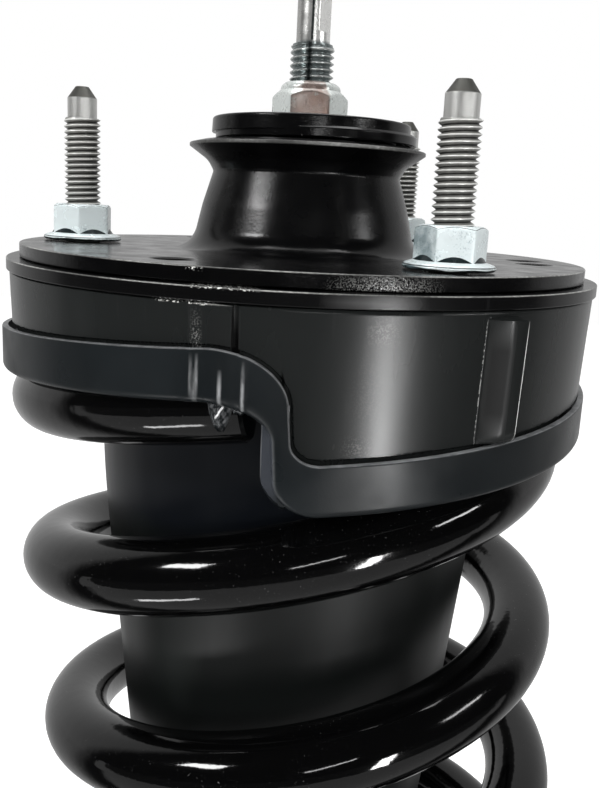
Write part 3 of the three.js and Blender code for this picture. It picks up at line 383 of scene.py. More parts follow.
def cup_paint():
    """Satin black, its plate glossier; painted highlights lie on the plate's edge, in specks where
    lamps reflect and on the rib's edges, and painted shade darkens the rib's hollow side, the boss's
    side and the groove.
    """
    paint = Paint("cup_paint", (0.0115, 0.0128, 0.0126), 0.22, specular=0.3)
    on_plate = paint.between(paint.xyz()[2], -7.15, -7.0)
    satin = paint.mottle(90, 5, 0.3, 0.7, 0.23, 0.29, (1, 1, 0.25))
    satin = paint.math("ADD", satin, paint.times(on_plate, -0.03))
    paint.tint((0.0025, 0.0025, 0.0027), on_plate)
    # painted highlight: a pale patch on the plate's edge where the front lamp reflects
    paint.tint(0.075, on_plate, paint.strip(-79.5, 8, -7.9, -2.9, 1))
    paint.scratches(0.15, 0.06)
    # pale rims on the cup plate's edges: partly worn paint, partly painted highlight
    paint.worn_and_lit_rim(CUP_PLATE_R, CUP_PLATE_TOP)
    paint.worn_and_lit_rim(CUP_PLATE_R, CUP_TOP)
    paint.chips(-101.5, 6, CUP_PLATE_TOP - 0.05)
    paint.chips(-107, 5.5, CUP_TOP)
    # painted highlights: pale specks where lamps reflect in the cup's paint
    specks = paint.mottle(2600, 1, 0.5, 0.6)
    for azimuth, half, low, high, level in HIGHLIGHT_SPECKS:
        highlight_patch = paint.strip(azimuth, half, low, high, 0.8)
        paint.tint((level, level, level * 0.97), highlight_patch, specks)
    # painted highlight: a pale line along the rib's right edge
    rib_edge_highlight = paint.strip(RIB_START + RIB_WIDTH - 0.2, 0.24, -36.5, RIB_TOP)
    paint.tint((0.85, 0.85, 0.83), rib_edge_highlight, paint.mottle(1500, 2, 0.3, 0.42, 0.4, 1))
    # painted highlight: a broken pale line at the rib's root
    rib_root_highlight = paint.strip(RIB_START, 0.09, -36, RIB_TOP)
    paint.tint((0.3, 0.3, 0.29), rib_root_highlight, paint.mottle(1500, 2, 0.46, 0.56))
    # painted shade on the rib's left side, which faces away from the lamps
    rib_shaded_side = paint.strip(RIB_START + 2.1, 2.1, -36, RIB_TOP, 0.5)
    paint.tint((0.0035, 0.0038, 0.0038), rib_shaded_side)
    # painted shade in the groove beside the boss
    groove = paint.strip(-99.25, 0.75, -40, -7.6, 0.35)
    paint.tint(0.002, groove)
    # painted shade on the boss's right side
    boss_shaded_side = paint.strip(-101.6, 1.9, -40, -7.6, 0.6)
    paint.tint((0.0045, 0.005, 0.005), boss_shaded_side)
    dull = paint.times(paint.math("MAXIMUM", rib_shaded_side, boss_shaded_side), 0.35)
    dull = paint.math("MAXIMUM", dull, paint.times(groove, 0.7))
    paint.rough(paint.math("ADD", satin, dull))
    paint.bump(paint.noise(2600, 1), 0.004)
    return paint.orange_peel(0.4, 0.006)


def washer_paint():
    paint = Paint("washer_paint", (0.002, 0.002, 0.0022), 0.2, specular=0.35)
    paint.rough_noise(150, 4, 0.14, 0.24)
    paint.dust(0)
    return paint.orange_peel(0.6, 0.015)


def spring_paint():
    paint = Paint("spring_paint", (0.0014, 0.0014, 0.0015), 0.08)
    paint.rough(paint.mottle(70, 3, 0.35, 0.7, 0.05, 0.12))
    paint.dust(0, 0.12)
    paint.orange_peel(5, 0.05)
    return paint.orange_peel(1.3, 0.012)


def gloss_black(name):
    paint = Paint(name, (0.005, 0.005, 0.0055), 0.2)
    paint.rough_noise(80, 4, 0.15, 0.3)
    paint.dust(0.02)
    paint.scratches(0.4, 0.1)
    return paint.orange_peel(1.1, 0.02)


def pin_paint():
    paint = Paint("pin_paint", (0.02, 0.02, 0.021), 0.5)
    paint.rough_noise(200, 5, 0.38, 0.62)
    paint.tint((0.045, 0.042, 0.04), paint.mottle(70, 6, 0.6, 0.75))
    return paint.orange_peel(0.5, 0.04)


def rubber(name, color, roughness):
    paint = Paint(name, color, roughness, specular=0.25)
    paint.rough_noise(60, 5, roughness - 0.08, roughness + 0.09)
    pale = tuple(c * 1.7 + 0.002 for c in color)
    paint.tint(pale, paint.mottle(45, 6, 0.48, 0.8, 0, 0.6))
    return paint.bump(paint.noise(2200, 2), 0.012)


def isolator_rubber():
    """Moulded rubber with painted highlights along its edges, on the step's flank, on the tab and
    where it is creased over the cup's boss.
    """
    paint = rubber("isolator_rubber", (0.007, 0.009, 0.0102), 0.34)
    outward, up = paint.outward()
    # painted highlight along the band's rounded edges, where they turn from its outside
    edge_highlight = paint.between(outward, 0.5, 0.93, 1, 0)
    not_under = paint.between(up, -0.45, -0.1)
    uneven = paint.mottle(350, 3, 0.3, 0.6, 0.45, 1)
    paint.tint((0.2, 0.206, 0.212), edge_highlight, not_under, uneven)
    on_band = paint.between(paint.radius_and_height()[0], 80.7, 81)
    # painted sheen: a paler bluish band on the step's flank, off the band's face
    flank = paint.strip(-93.6, 1.9, -50, -29, 0.5)
    paint.tint((0.034, 0.038, 0.046), paint.math("SUBTRACT", flank, on_band))
    broken = paint.mottle(900, 2, 0.3, 0.55, 0.4, 1, (1, 1, 0.3))
    # painted highlights on the crests of the creases over the boss
    for azimuth, half, low, high, level in CREASE_HIGHLIGHTS:
        crease_highlight = paint.strip(azimuth, half, low, high, 0.9)
        paint.tint((level, level * 1.02, level * 1.04), crease_highlight, on_band, broken)
    # painted highlight: a bright slash across the crumpled tab
    paint.tint(0.8, paint.strip(-101.35, 0.22, -31.2, -28.0, 0.4, 0.44))
    return paint


def boot_rubber():
    """Bluish behind the isolator's step and neutral below it."""
    paint = Paint("boot_rubber", (0.004, 0.0052, 0.0075), 0.34, specular=0.35)
    paint.rough_noise(50, 4, 0.3, 0.44, (1, 1, 0.2))
    paint.tint((0.008, 0.010, 0.0115), paint.mottle(80, 6, 0.5, 0.8, 0, 0.5, (1, 1, 0.15)))
    low = paint.between(paint.xyz()[2], -74, -66, 1, 0)
    paint.tint((0.0048, 0.0057, 0.0055), low)
    patches = paint.mottle(28, 2, 0.5, 0.7, 0, 1, (1, 1, 0.7))
    paint.tint((0.0105, 0.0125, 0.0118), low, patches)
    return paint.bump(paint.noise(1500, 2), 0.008)


def zinc_nut():
    """Bright zinc: pale and smooth, with painted dark reflections on the steep scallops at the foot
    of a hexagon and on faces towards the tower, and painted shade at the flange's foot.
    """
    color = (0.8, 0.88, 0.89)
    paint = Paint("zinc_nut", color, 0.24, 0.18)
    paint.rough_noise(400, 3, 0.2, 0.3)
    paint.tint(tuple(c * 0.86 for c in color), paint.mottle(180, 4, 0.5, 0.75, 0, 0.6))
    speckle = paint.mottle(2300, 2, 0.55, 0.66, 0, 0.5)
    paint.tint((0.16, 0.24, 0.27), speckle, paint.mottle(110, 1, 0.52, 0.6))
    x, _, z = paint.xyz()
    # painted shade: the flange's foot is dark where it meets the plate
    rim = paint.math("SUBTRACT", z, paint.times(paint.noise(150, 1), 1.4))
    paint.tint((0.012, 0.015, 0.015), paint.between(rim, 0.1, 0.3, 1, 0))
    nx, _, nz = paint.facing()
    # painted reflection: faces turned towards the black tower are darker
    dark_tower_reflection = paint.times(paint.between(nx, -0.8, -0.6, 1, 0), paint.between(x, 0, 10))
    paint.tint((0.13, 0.185, 0.2), dark_tower_reflection, paint.mottle(260, 4, 0.35, 0.6, 0.35, 0.85))
    # painted reflection: the steep scallops at the foot of the hexagon are dark
    paint.tint((0.012, 0.02, 0.022), paint.near(nz, 0.62, 0.08, 0.14))
    return paint.bump(paint.noise(900, 2), 0.006)


def zinc_rod_nut():
    """The rod nut's zinc carries a painted brown reflection on the side towards the front."""
    paint = Paint("zinc_rod_nut", (0.72, 0.76, 0.74), 0.24, 0.45)
    paint.rough_noise(400, 3, 0.2, 0.32)
    # painted reflection: faces towards the front take a brown tint
    front = paint.between(paint.facing()[1], -0.97, -0.8, 1, 0)
    veil = paint.mottle(240, 3, 0.25, 0.6, 0.75, 1)
    paint.tint((0.17, 0.115, 0.095), front, veil)
    # the collar's front takes the same painted brown reflection
    collar = paint.strip(-82, 26, ROD_COLLAR_LOW, ROD_COLLAR_LOW + 6, 0.2)
    paint.tint((0.2, 0.15, 0.13), collar, veil)
    paint.tint((0.3, 0.32, 0.3), paint.mottle(700, 3, 0.62, 0.7))
    return paint.bump(paint.noise(700, 2), 0.01)


def machined(name, color, roughness):
    """Turned or drawn steel: fine rings round +Z, a little soil in the hollows."""
    paint = Paint(name, color, roughness, 0.7)
    paint.rough_noise(300, 4, roughness - 0.08, roughness + 0.12)
    paint.tint(tuple(c * 0.45 for c in color), paint.mottle(180, 6, 0.52, 0.78, 0, 0.8))
    return paint.bump(paint.noise(900, 2, (0.15, 0.15, 2.5)), 0.01)


def rod_steel():
    """Ground rod; painted light makes its end pale on the right and darker on the left, with a
    painted highlight line, and a dark painted reflection runs down its front.
    """
    paint = machined("rod_steel", (0.75, 0.75, 0.75), 0.22)
    x, y, z = paint.xyz()
    end = paint.between(z, ROD_THREAD_TOP, ROD_THREAD_TOP + 1)
    thread = paint.between(z, ROD_THREAD_TOP, ROD_THREAD_TOP + 1, 1, 0)
    thread = paint.times(thread, paint.between(z, ROD_THREAD_LOW - 1, ROD_THREAD_LOW))
    # painted light: the end is pale where lit on the right and darker on its shaded left half, with a
    # painted highlight line near x = -2.2
    paint.tint((0.93, 0.93, 0.91), end)
    left = paint.times(end, paint.between(x, -0.2, 0, 1, 0))
    paint.tint((0.45, 0.45, 0.44), left)
    paint.tint((0.85, 0.85, 0.83), left, paint.near(x, -2.2, 0.3, 0.8))
    paint.tint((0.25, 0.28, 0.28), thread)
    # painted highlight on the thread's crests
    crest_highlight = paint.between(paint.distance(x, y), 5.7, 5.9)
    paint.tint((0.6, 0.62, 0.61), thread, crest_highlight)
    # painted reflection: a dark streak down the front of the end and the thread
    on_end = paint.times(end, paint.near(x, -0.3, 0.2, 0.5))
    on_thread = paint.times(thread, paint.near(x, -0.8, 0.2, 1.2))
    seam_reflection = paint.times(paint.between(y, -1, 0, 1, 0), paint.math("MAXIMUM", on_end, on_thread))
    paint.tint((0.035, 0.042, 0.042), seam_reflection)
    return paint


def stud_steel():
    """Phosphated threads, olive grey, under a bright machined point; the crests carry a painted
    highlight and the roots painted shade.
    """
    paint = Paint("stud_steel", (0.72, 0.72, 0.7), 0.36, 0.9)
    x, y, z = paint.xyz()
    on_thread = paint.between(z, THREAD_TOP - 0.4, THREAD_TOP, 1, 0)
    paint.join(paint.between(on_thread, 0, 1, 0.9, 0.5), paint.shader.inputs["Metallic"])
    point = paint.between(z, THREAD_TOP - 0.4, THREAD_TOP, 0, 0.06)
    paint.rough(paint.math("ADD", paint.mottle(300, 4, 0.3, 0.7, 0.34, 0.42), point))
    paint.tint((0.3, 0.3, 0.284), on_thread)
    r = None  # from the nearest stud's axis
    for azimuth in STUD_AT:
        at = polar(STUD_CIRCLE, azimuth)
        away = paint.distance(paint.math("SUBTRACT", x, at[0]), paint.math("SUBTRACT", y, at[1]))
        r = away if r is None else paint.math("MINIMUM", r, away)
    # painted highlight on the thread crests and painted shade in the roots
    paint.tint((0.95, 0.95, 0.92), on_thread, paint.between(r, 4.74, 4.86))
    paint.tint((0.03, 0.03, 0.028), on_thread, paint.between(r, 4.04, 4.24, 1, 0))
    paint.tint((0.12, 0.12, 0.11), paint.between(z, CONE_FOOT - 0.1, CONE_FOOT + 0.2))
    paint.tint((0.25, 0.25, 0.23), paint.mottle(180, 6, 0.6, 0.8, 0, 0.4))
    return paint.bump(paint.noise(900, 2, (0.15, 0.15, 2.5)), 0.004)


def sintered_iron():
    paint = Paint("sintered_iron", (0.2, 0.19, 0.175), 0.6, 0.8)
    paint.tint((0.08, 0.075, 0.07), paint.mottle(900, 3, 0.55, 0.7))
    return paint.bump(paint.noise(1800, 3), 0.05)


def bump_foam():
    paint = Paint("bump_foam", (0.42, 0.31, 0.1), 0.85)
    paint.tint((0.24, 0.16, 0.04), paint.mottle(1100, 4, 0.52, 0.7))
    return paint.bump(paint.noise(1400, 3), 0.08)


FINISHES = [
    tower_paint(), cup_paint(), washer_paint(), spring_paint(), gloss_black("damper_paint"),
    gloss_black("seat_paint"), pin_paint(), isolator_rubber(), boot_rubber(), zinc_nut(),
    zinc_rod_nut(), stud_steel(), rod_steel(), sintered_iron(), bump_foam(),
    machined("inner_steel", (0.5, 0.5, 0.51), 0.3),
    rubber("cushion_rubber", (0.009, 0.009, 0.010), 0.5),
    rubber("bushing_rubber", (0.011, 0.011, 0.012), 0.55),
    rubber("seal_rubber", (0.012, 0.012, 0.013), 0.5),
    rubber("bearing_band", (0.03, 0.06, 0.045), 0.5),
]
MATERIALS = {paint.name: paint.material for paint in FINISHES}
RECORD = frame["record"]
SLOT_OF = {part["node"]: part["material_slot"] for part in RECORD["subparts"]}
BODY_OF = {node: body for body, nodes in RECORD["behaviour"]["bodies"].items() for node in nodes}


# -------------------- mesh helpers
def full_turn(count):
    return np.linspace(0, 2 * np.pi, count, endpoint=False)


def around(radii, angles, heights):
    """Points at radii and heights for each of the angles, which are in radians."""
    x, y = radii * np.cos(angles)[:, None], radii * np.sin(angles)[:, None]
    return np.stack([x, y, np.broadcast_to(heights, x.shape)], -1)


def ring_points(azimuths, radii, heights):
    angle = np.radians(azimuths)
    return np.stack(np.broadcast_arrays(radii * np.cos(angle), radii * np.sin(angle), heights), -1)


def smooth(share):
    """Eases from 0 to 1 and holds there."""
    share = np.clip(share, 0, 1)
    return share * share * (3 - 2 * share)


EYE_Z = sum(span("eye_ring")) / 2


class Shape:
    """Points in millimetres and faces, gathered from one or more surfaces."""

    def __init__(self):
        self.points = []
        self.faces = []
        self.count = 0

    def grid(self, rows, loop=None):
        """A sheet of quads from an array of shape (rows, columns, 3); loop says what closes."""
        rows = np.asarray(rows, float)
        n, m = rows.shape[:2]
        index = np.arange(n * m).reshape(n, m) + self.count
        if loop in ("rows", "both"):
            index = np.concatenate([index, index[:1]])
        if loop in ("columns", "both"):
            index = np.concatenate([index, index[:, :1]], axis=1)
        quads = [index[:-1, :-1], index[1:, :-1], index[1:, 1:], index[:-1, 1:]]
        self.faces.extend(np.stack(quads, -1).reshape(-1, 4).tolist())
        self.points.append(rows.reshape(-1, 3))
        self.count += n * m
        return self

    def fan(self, ring, inward=False):
        """A flat cap over a ring of points."""
        face = list(range(self.count, self.count + len(ring)))
        self.faces.append(face[::-1] if inward else face)
        self.points.append(ring)
        self.count += len(ring)

    def turned(self, profile, sides=192, centre=(0, 0), along="z"):
        """Turns a closed or axis-to-axis [radius, height] profile about +Z or the eye's axis."""
        profile = np.asarray(profile, float)
        rows = around(profile[None, :, 0], full_turn(sides), profile[:, 1]) + [*centre, 0]
        if along == "x":
            rows = rows[..., [2, 0, 1]] + [0, 0, EYE_Z]
        closed = profile[0, 0] > 0 or profile[-1, 0] > 0
        return self.grid(rows, "both" if closed else "rows")

    def mesh(self, name):
        mesh = bpy.data.meshes.new(name)
        points = np.concatenate(self.points) * MM
        mesh.from_pydata(points.tolist(), [], self.faces)
        work = bmesh.new()
        work.from_mesh(mesh)
        bmesh.ops.remove_doubles(work, verts=work.verts, dist=1e-7)
        bmesh.ops.dissolve_degenerate(work, edges=work.edges, dist=1e-8)
        bmesh.ops.recalc_face_normals(work, faces=work.faces)
        work.to_mesh(mesh)
        work.free()
        return mesh


def rounded(points, step=15):
    """A profile of (radius, height[, fillet]) points with its corners rounded."""
    corners = [(*p, 0.0)[:3] for p in points]
    line = []
    for i, (x, y, fillet) in enumerate(corners):
        here = Vector((x, y))
        before = Vector(corners[i - 1][:2]) - here
        after = Vector(corners[(i + 1) % len(corners)][:2]) - here
        turn = math.pi - before.angle(after) if fillet else 0
        if turn < 0.02:
            line.append(here)
            continue
        reach = min(fillet * math.tan(turn / 2), before.length * 0.49, after.length * 0.49)
        first = here + before.normalized() * reach
        last = here + after.normalized() * reach
        steps = max(2, math.ceil(math.degrees(turn) / step))
        bisector = (before.normalized() + after.normalized()).normalized()
        radius = reach / math.tan(turn / 2)
        middle = here + bisector * (radius / math.cos(turn / 2))
        start = (first - middle).normalized()
        swing = start.angle_signed((last - middle).normalized())
        for k in range(steps + 1):
            arm = start.copy()
            arm.rotate(Matrix.Rotation(-swing * k / steps, 2))
            line.append(middle + arm * radius)
    return [tuple(p) for p in line]


def ring_section(inner, outer, low, high, fillets):
    """The fillets are for the corners low inside, low outside, high outside and high inside."""
    corners = [(inner, low), (outer, low), (outer, high), (inner, high)]
    return rounded([(*corner, fillet) for corner, fillet in zip(corners, fillets)])


def piece(name, shape, node, sharp=38):
    """Puts a shape in the scene in place of a node, on the node's body and in its finish."""
    mesh = shape if isinstance(shape, bpy.types.Mesh) else shape.mesh(name)
    made = in_scene(name, mesh)
    mesh.materials.clear()
    mesh.materials.append(MATERIALS[SLOT_OF[node]])
    mesh.shade_smooth()
    mesh.set_sharp_from_angle(angle=math.radians(sharp))
    # flat faces keep their own direction right up to their rounded edges
    made.modifiers.new("normals", "WEIGHTED_NORMAL").keep_sharp = True
    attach(made, BODY_OF[node])
    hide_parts(node)


def turned_piece(node, profile, sides=128, step=10, along="z"):
    piece(f"{node}_body", Shape().turned(rounded(profile, step), sides, along=along), node)


def cut(shape, cutters):
    """A shape's mesh less each cutter."""
    base = in_scene("cut", shape.mesh("cut"))
    helpers = []
    for cutter in cutters:
        helper = in_scene("cutter", cutter.mesh("cutter"))
        modifier = base.modifiers.new("boolean", "BOOLEAN")
        modifier.operation = "DIFFERENCE"
        modifier.solver = "EXACT"
        modifier.object = helper
        helpers.append(helper)
    graph = bpy.context.evaluated_depsgraph_get()
    mesh = bpy.data.meshes.new_from_object(base.evaluated_get(graph))
    for used in [base, *helpers]:
        bpy.data.objects.remove(used)
    return mesh


def hole_cutter(radius, low, high, at, chamfer=0.5):
    """A round cutter that widens where it leaves the faces at low and high."""
    past = chamfer + 1
    profile = [
        (0, low - past), (radius + past, low - past), (radius + past, low - past + 1),
        (radius, low + chamfer), (radius, high - chamfer), (radius + past, high + past - 1),
        (radius + past, high + past), (0, high + past),
    ]
    return Shape().turned(profile, 48, at)


# -------------------- stud plate and tower
STUD_HOLE_R = 5.5
HOLE_CIRCLE = 64.4
HOLES = [(-116.5, 4.8), (3, 4.8), (123, 4.8), (-10.8, 4.6)]  # azimuth and radius


def stud_holes(low, high):
    return [hole_cutter(STUD_HOLE_R, low, high, polar(STUD_CIRCLE, a)) for a in STUD_AT]


def tower_plate():
    low, high = box("tower_plate")
    profile = rounded([
        (PLATE_R, low.z, 0.3), (PLATE_R, 0, 0.3), (31.7, 0, 7), (28.9, 12, 30), (26.1, 21, 1.2),
        (27.6, 23.8, 6), (LIP_R, 27.4, 0.25), (LIP_R, 28.2, 0.3), (29.5, 29.0, 3),
        (25, high.z, 0.4), (23, 22.5, 2), (28.2, -0.2, 2), (28.2, low.z, 0.5),
    ], 8)
    cutters = stud_holes(low.z, 0)
    cutters += [hole_cutter(r, low.z, 0, polar(HOLE_CIRCLE, a), 0.35) for a, r in HOLES]
    piece("tower_plate_skin", cut(Shape().turned(profile, 256), cutters), "tower_plate")


def cup_plate():
    low, high = box("cup_plate")
    profile = ring_section(35, high.x, low.z, high.z, (0.4, 0.35, 0.3, 0.4))
    skin = cut(Shape().turned(profile, 256), stud_holes(low.z, high.z))
    piece("cup_plate_skin", skin, "cup_plate")


# -------------------- threads, studs and nuts
def threaded(major, pitch, low, high, sides=64, fade=1.2):
    """Rows of a right-handed 60 degree thread, which runs out over fade pitches at both ends."""
    depth = 0.6134 * pitch
    heights = np.linspace(low, high, int((high - low) / pitch * 12) + 1)
    angles = full_turn(sides)
    phase = (heights[None, :] / pitch - angles[:, None] / (2 * np.pi)) % 1.0
    ridge = np.clip(np.abs(phase * 2 - 1) * 1.28 - 0.12, 0, 1)
    ends = np.minimum(heights - low, high - heights)[None, :] / (fade * pitch)
    radius = major - depth * (1 - ridge) * np.clip(ends, 0, 1)
    radius = np.where(ends < 0.25, np.minimum(radius, major - depth * 0.5), radius)
    return around(radius, angles, heights)


def softly_least(first, second, sharpness):
    return -np.log(np.exp(-first * sharpness) + np.exp(-second * sharpness)) / sharpness


def hexagon(across_flats, low, high, top_r, turn, slope=0.58):
    """Rows of a hexagon whose corners are cut back by a cone at the top, with soft edges."""
    angles = full_turn(576)
    local = (np.degrees(angles) - turn + 30) % 60 - 30
    flat = across_flats / 2
    corner = flat / math.cos(math.radians(30)) - 0.1
    section = softly_least(flat / np.cos(np.radians(local)), corner, 6)
    heights = np.concatenate([np.linspace(low, high - 3.2, 8), np.linspace(high - 3, high, 22)])
    cone = top_r + (high - heights) / slope
    return around(softly_least(section[:, None], cone[None, :], 7), angles, heights)


def studs():
    for i, azimuth in enumerate(STUD_AT, 1):
        node = f"stud_{i}"
        low, high = box(node)
        at = polar(STUD_CIRCLE, azimuth)
        shape = Shape().turned(rounded([
            (0, low.z), (6.1, low.z, 0.4), (6.1, low.z + 3, 0.4), (4.5, low.z + 3), (4.5, 9), (0, 9),
        ]), 64, at)
        shape.grid(threaded(STUD_R, STUD_PITCH, 8.5, THREAD_TOP, fade=0.5) + [*at, 0], "rows")
        shape.turned(rounded([
            (0, THREAD_TOP - 1.5), (3.95, THREAD_TOP - 1.5), (3.95, CONE_FOOT, 0.25),
            (1.75, high.z, 0.3), (0, high.z),
        ]), 64, at)
        piece(f"{node}_body", shape, node, 50)


STUD_NUT_FLATS, ROD_NUT_FLATS = 14.8, 18.4
STUD_NUT_TURNS = [29.6, 15, 6]


def stud_nuts():
    for i, (azimuth, turn) in enumerate(zip(STUD_AT, STUD_NUT_TURNS), 1):
        node = f"stud_nut_{i}"
        foot, top = span(node)
        at = polar(STUD_CIRCLE, azimuth)
        shape = Shape()
        shape.grid(hexagon(STUD_NUT_FLATS, foot + 1.3, top, 7.05, turn) + [*at, 0], "rows")
        shape.turned(rounded([
            (7.0, top), (5.6, top, 0.4), (4.95, top - 0.9), (4.95, foot + 1), (5.3, foot),
            (10.3, foot, 0.4), (10.75, foot + 0.75, 0.4), (10.1, foot + 1.35, 0.5),
            (8.35, foot + 1.9, 0.25), (7.2, foot + 3.45, 0.2), (7.0, foot + 3.45), (7.0, top - 0.2),
        ]), 96, at)
        piece(f"{node}_body", shape, node)


def rod_nut():
    foot, top = span("rod_nut")
    collar = top - 3.6
    shape = Shape().grid(hexagon(ROD_NUT_FLATS, foot, collar + 1.4, 8.5, 30, 0.9), "rows")
    shape.turned(rounded([
        (8.2, collar - 2), (8.3, collar + 1, 0.3), (8.2, top - 1.0, 1.4), (7.0, top, 1.0),
        (6.5, top, 0.3), (6.1, top - 0.6), (6.1, foot), (8.2, foot),
    ], 10), 96)
    piece("rod_nut_body", shape, "rod_nut")


# -------------------- rod, washer and cushion
ROD_R, ROD_NECK_R, ROD_END_R = 10, 5.8, 4.6
ROD_FLATS_HALF, ROD_FLATS_TURN = 3.75, -35


def damper_rod():
    top = box("damper_rod")[1].z
    thread = threaded(ROD_THREAD_R, ROD_PITCH, ROD_THREAD_LOW, ROD_THREAD_TOP, 72)
    shape = Shape().grid(thread, "rows")
    angles = full_turn(96)
    rows = []
    for z, r, half in [
        (ROD_THREAD_TOP - 1.4, ROD_END_R, ROD_R), (ROD_THREAD_TOP + 2.6, ROD_END_R, ROD_R),
        (ROD_THREAD_TOP + 3.0, ROD_END_R, ROD_R), (ROD_THREAD_TOP + 3.2, ROD_END_R, ROD_FLATS_HALF),
        (top - 1.1, ROD_END_R, ROD_FLATS_HALF), (top - 0.5, ROD_END_R - 0.25, ROD_FLATS_HALF),
        (top, 3.7, ROD_FLATS_HALF),
    ]:
        x, y = np.clip(r * np.cos(angles), -half, half), r * np.sin(angles)
        turned = np.degrees(np.arctan2(y, x)) + ROD_FLATS_TURN
        rows.append(ring_points(turned, np.hypot(x, y), z))
    shape.grid(np.stack(rows, 1), "rows")
    shape.fan(rows[-1])
    foot, piston_top = box("piston_nut")[0].z - 0.3, box("piston")[1].z + 0.3
    shoulder = box("bump_cup")[1].z + 0.3
    shape.turned(rounded([
        (0, foot), (ROD_NECK_R, foot, 0.6), (ROD_NECK_R, piston_top), (ROD_R, piston_top, 0.6),
        (ROD_R, shoulder, 0.6), (ROD_THREAD_R, shoulder), (ROD_THREAD_R, ROD_THREAD_LOW + 0.6),
        (0, ROD_THREAD_LOW + 0.6),
    ]), 96)
    piece("damper_rod_body", shape, "damper_rod")


WASHER_RIM_X, WASHER_CROWN_X = 2.2, 0.8


def top_washer():
    """A dished washer: its lower rim sits a little further from the axis than its crown."""
    low, high = span("top_washer")
    shape = Shape().turned(rounded([
        (8.4, high - 3.2, 0.3), (26.2, high - 3.2, 0.4), (26.4, low, 0.2), (27.9, low, 0.3),
        (27.9, low + 2.2, 0.5), (27.2, low + 2.9, 0.3), (8.4, low + 2.9, 0.3),
    ], 8), 192, (WASHER_RIM_X, 0))
    shape.turned(rounded([
        (8.6, low + 1.6, 0.2), (27.6, low + 1.6, 0.2), (27.4, high - 0.1, 0.7),
        (22, high, 6), (8.6, high - 0.1, 0.3),
    ], 8), 192, (WASHER_CROWN_X, 0))
    piece("top_washer_body", shape, "top_washer")


def plain_turned_pieces():
    """Round pieces that are inside the strut or simple: edges rounded, sizes from their nodes."""
    for node, inner, fillet in [
        ("top_cushion", 9.1, 0.8), ("low_washer", 6.2, 0.4), ("boot_ring", 45, 0.5),
        ("centre_sleeve", 6.2, 0.3), ("rebound_stop", 10.2, 1.2), ("rod_seal", 10.2, 0.8),
        ("inner_tube", 17.5, 0.2),
    ]:
        low, high = box(node)
        profile = ring_section(inner, high.x, low.z, high.z, (fillet,) * 4)
        piece(f"{node}_body", Shape().turned(profile, 128), node)


def centre_bushing():
    """The rubber that fills the tower round the sleeve, with a moulded groove in its foot."""
    low, high = box("centre_bushing")
    base_r, neck_r = high.x, 23.2
    turned_piece("centre_bushing", [
        (9.2, low.z, 0.5), (14, low.z, 1), (15.5, low.z + 3, 1.2), (22, low.z + 3, 1.2),
        (23.5, low.z, 1), (base_r, low.z, 1.2), (base_r, -3.3, 0.5), (neck_r, 21),
        (neck_r, high.z, 0.5), (9.2, high.z, 0.4),
    ])


def bump_stop():
    low, high = span("bump_stop")
    turned_piece("bump_stop", [
        (10.3, low, 0.8), (16.8, low, 3), (21, low + 8, 4), (17, low + 18, 4),
        (21, low + 28, 4), (21, high, 1), (10.3, high, 0.8),
    ])
    low, high = span("bump_cup")
    turned_piece("bump_cup", [
        (10.2, high - 3.4, 0.3), (21.3, high - 3.4, 1), (21.3, low, 0.4), (23, low, 0.4),
        (23, high, 2), (10.2, high, 0.3),
    ])


# -------------------- coil spring
COIL_R, WIRE_R, COIL_TURNS = 68.4, 9.5, 5.9
COIL_AZIMUTH, COIL_Z = -96.5, -31.5  # of the wire's upper end
COIL_X, COIL_Y = -2.6, 0.9
BOW_X, BOW_Y, HALF_WAVE = 15, 4, 215  # the axis's sideways bow and the drop it takes
TILT_X, TILT_Y = 0.11, -0.047
PITCH = 52.5
CLOSING, CLOSED_TURNS, CLOSED_BLEND = 44.8, 0.266, 0.12  # the closed ends' smaller pitch
WIRE_EDGE = 0.8  # chamfer at the cut ends


def closed_drop(turns):
    late = np.log(1 + np.exp((turns - CLOSED_TURNS) / CLOSED_BLEND))
    early = math.log(1 + math.exp(-CLOSED_TURNS / CLOSED_BLEND))
    return CLOSING * (turns - CLOSED_BLEND * (late - early))


def coil_drop(turns):
    lower = closed_drop(COIL_TURNS) - closed_drop(COIL_TURNS - turns)
    return PITCH * turns - closed_drop(turns) - lower


def coil_axis(drop):
    bow = (1 - np.cos(np.pi * drop / HALF_WAVE)) / 2
    return COIL_X + BOW_X * bow, COIL_Y + BOW_Y * bow


def coil_points(turns):
    """The wire's centre line, measured in turns down from its upper cut end."""
    drop = coil_drop(turns)
    cx, cy = coil_axis(drop)
    angle = np.radians(COIL_AZIMUTH - 360 * turns)
    dx, dy = COIL_R * np.cos(angle), COIL_R * np.sin(angle)
    return np.stack([cx + dx, cy + dy, COIL_Z - drop + TILT_X * dx + TILT_Y * dy], -1)


def coil_spring():
    turns = np.linspace(0, COIL_TURNS, round(COIL_TURNS * 120) + 1)
    centre = coil_points(turns)
    along = coil_points(turns + 1e-3) - coil_points(turns - 1e-3)
    along /= np.linalg.norm(along, axis=1)[:, None]
    up = np.cross(ring_points(COIL_AZIMUTH - 360 * turns, 1, 0), along)
    up /= np.linalg.norm(up, axis=1)[:, None]
    out = np.cross(along, up)
    ring = full_turn(40)[None, :, None]
    offset = out[:, None] * np.cos(ring) + up[:, None] * np.sin(ring)
    rows = centre[:, None] + offset * (WIRE_R - 0.02)
    caps = [centre[end] + offset[end] * (WIRE_R - WIRE_EDGE) for end in (0, -1)]
    rows[0] += along[0] * WIRE_EDGE
    rows[-1] -= along[-1] * WIRE_EDGE
    shape = Shape().grid(np.concatenate([caps[:1], rows, caps[1:]]), "columns")
    shape.fan(caps[0])
    shape.fan(caps[1], inward=True)
    made = in_scene("coil_spring_wire", shape.mesh("coil_spring_wire"))
    made.data.materials.append(MATERIALS["spring_paint"])
    made.data.shade_smooth()
    made.data.set_sharp_from_angle(angle=math.radians(40))
    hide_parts("coil_spring")
    bend_spring(made)


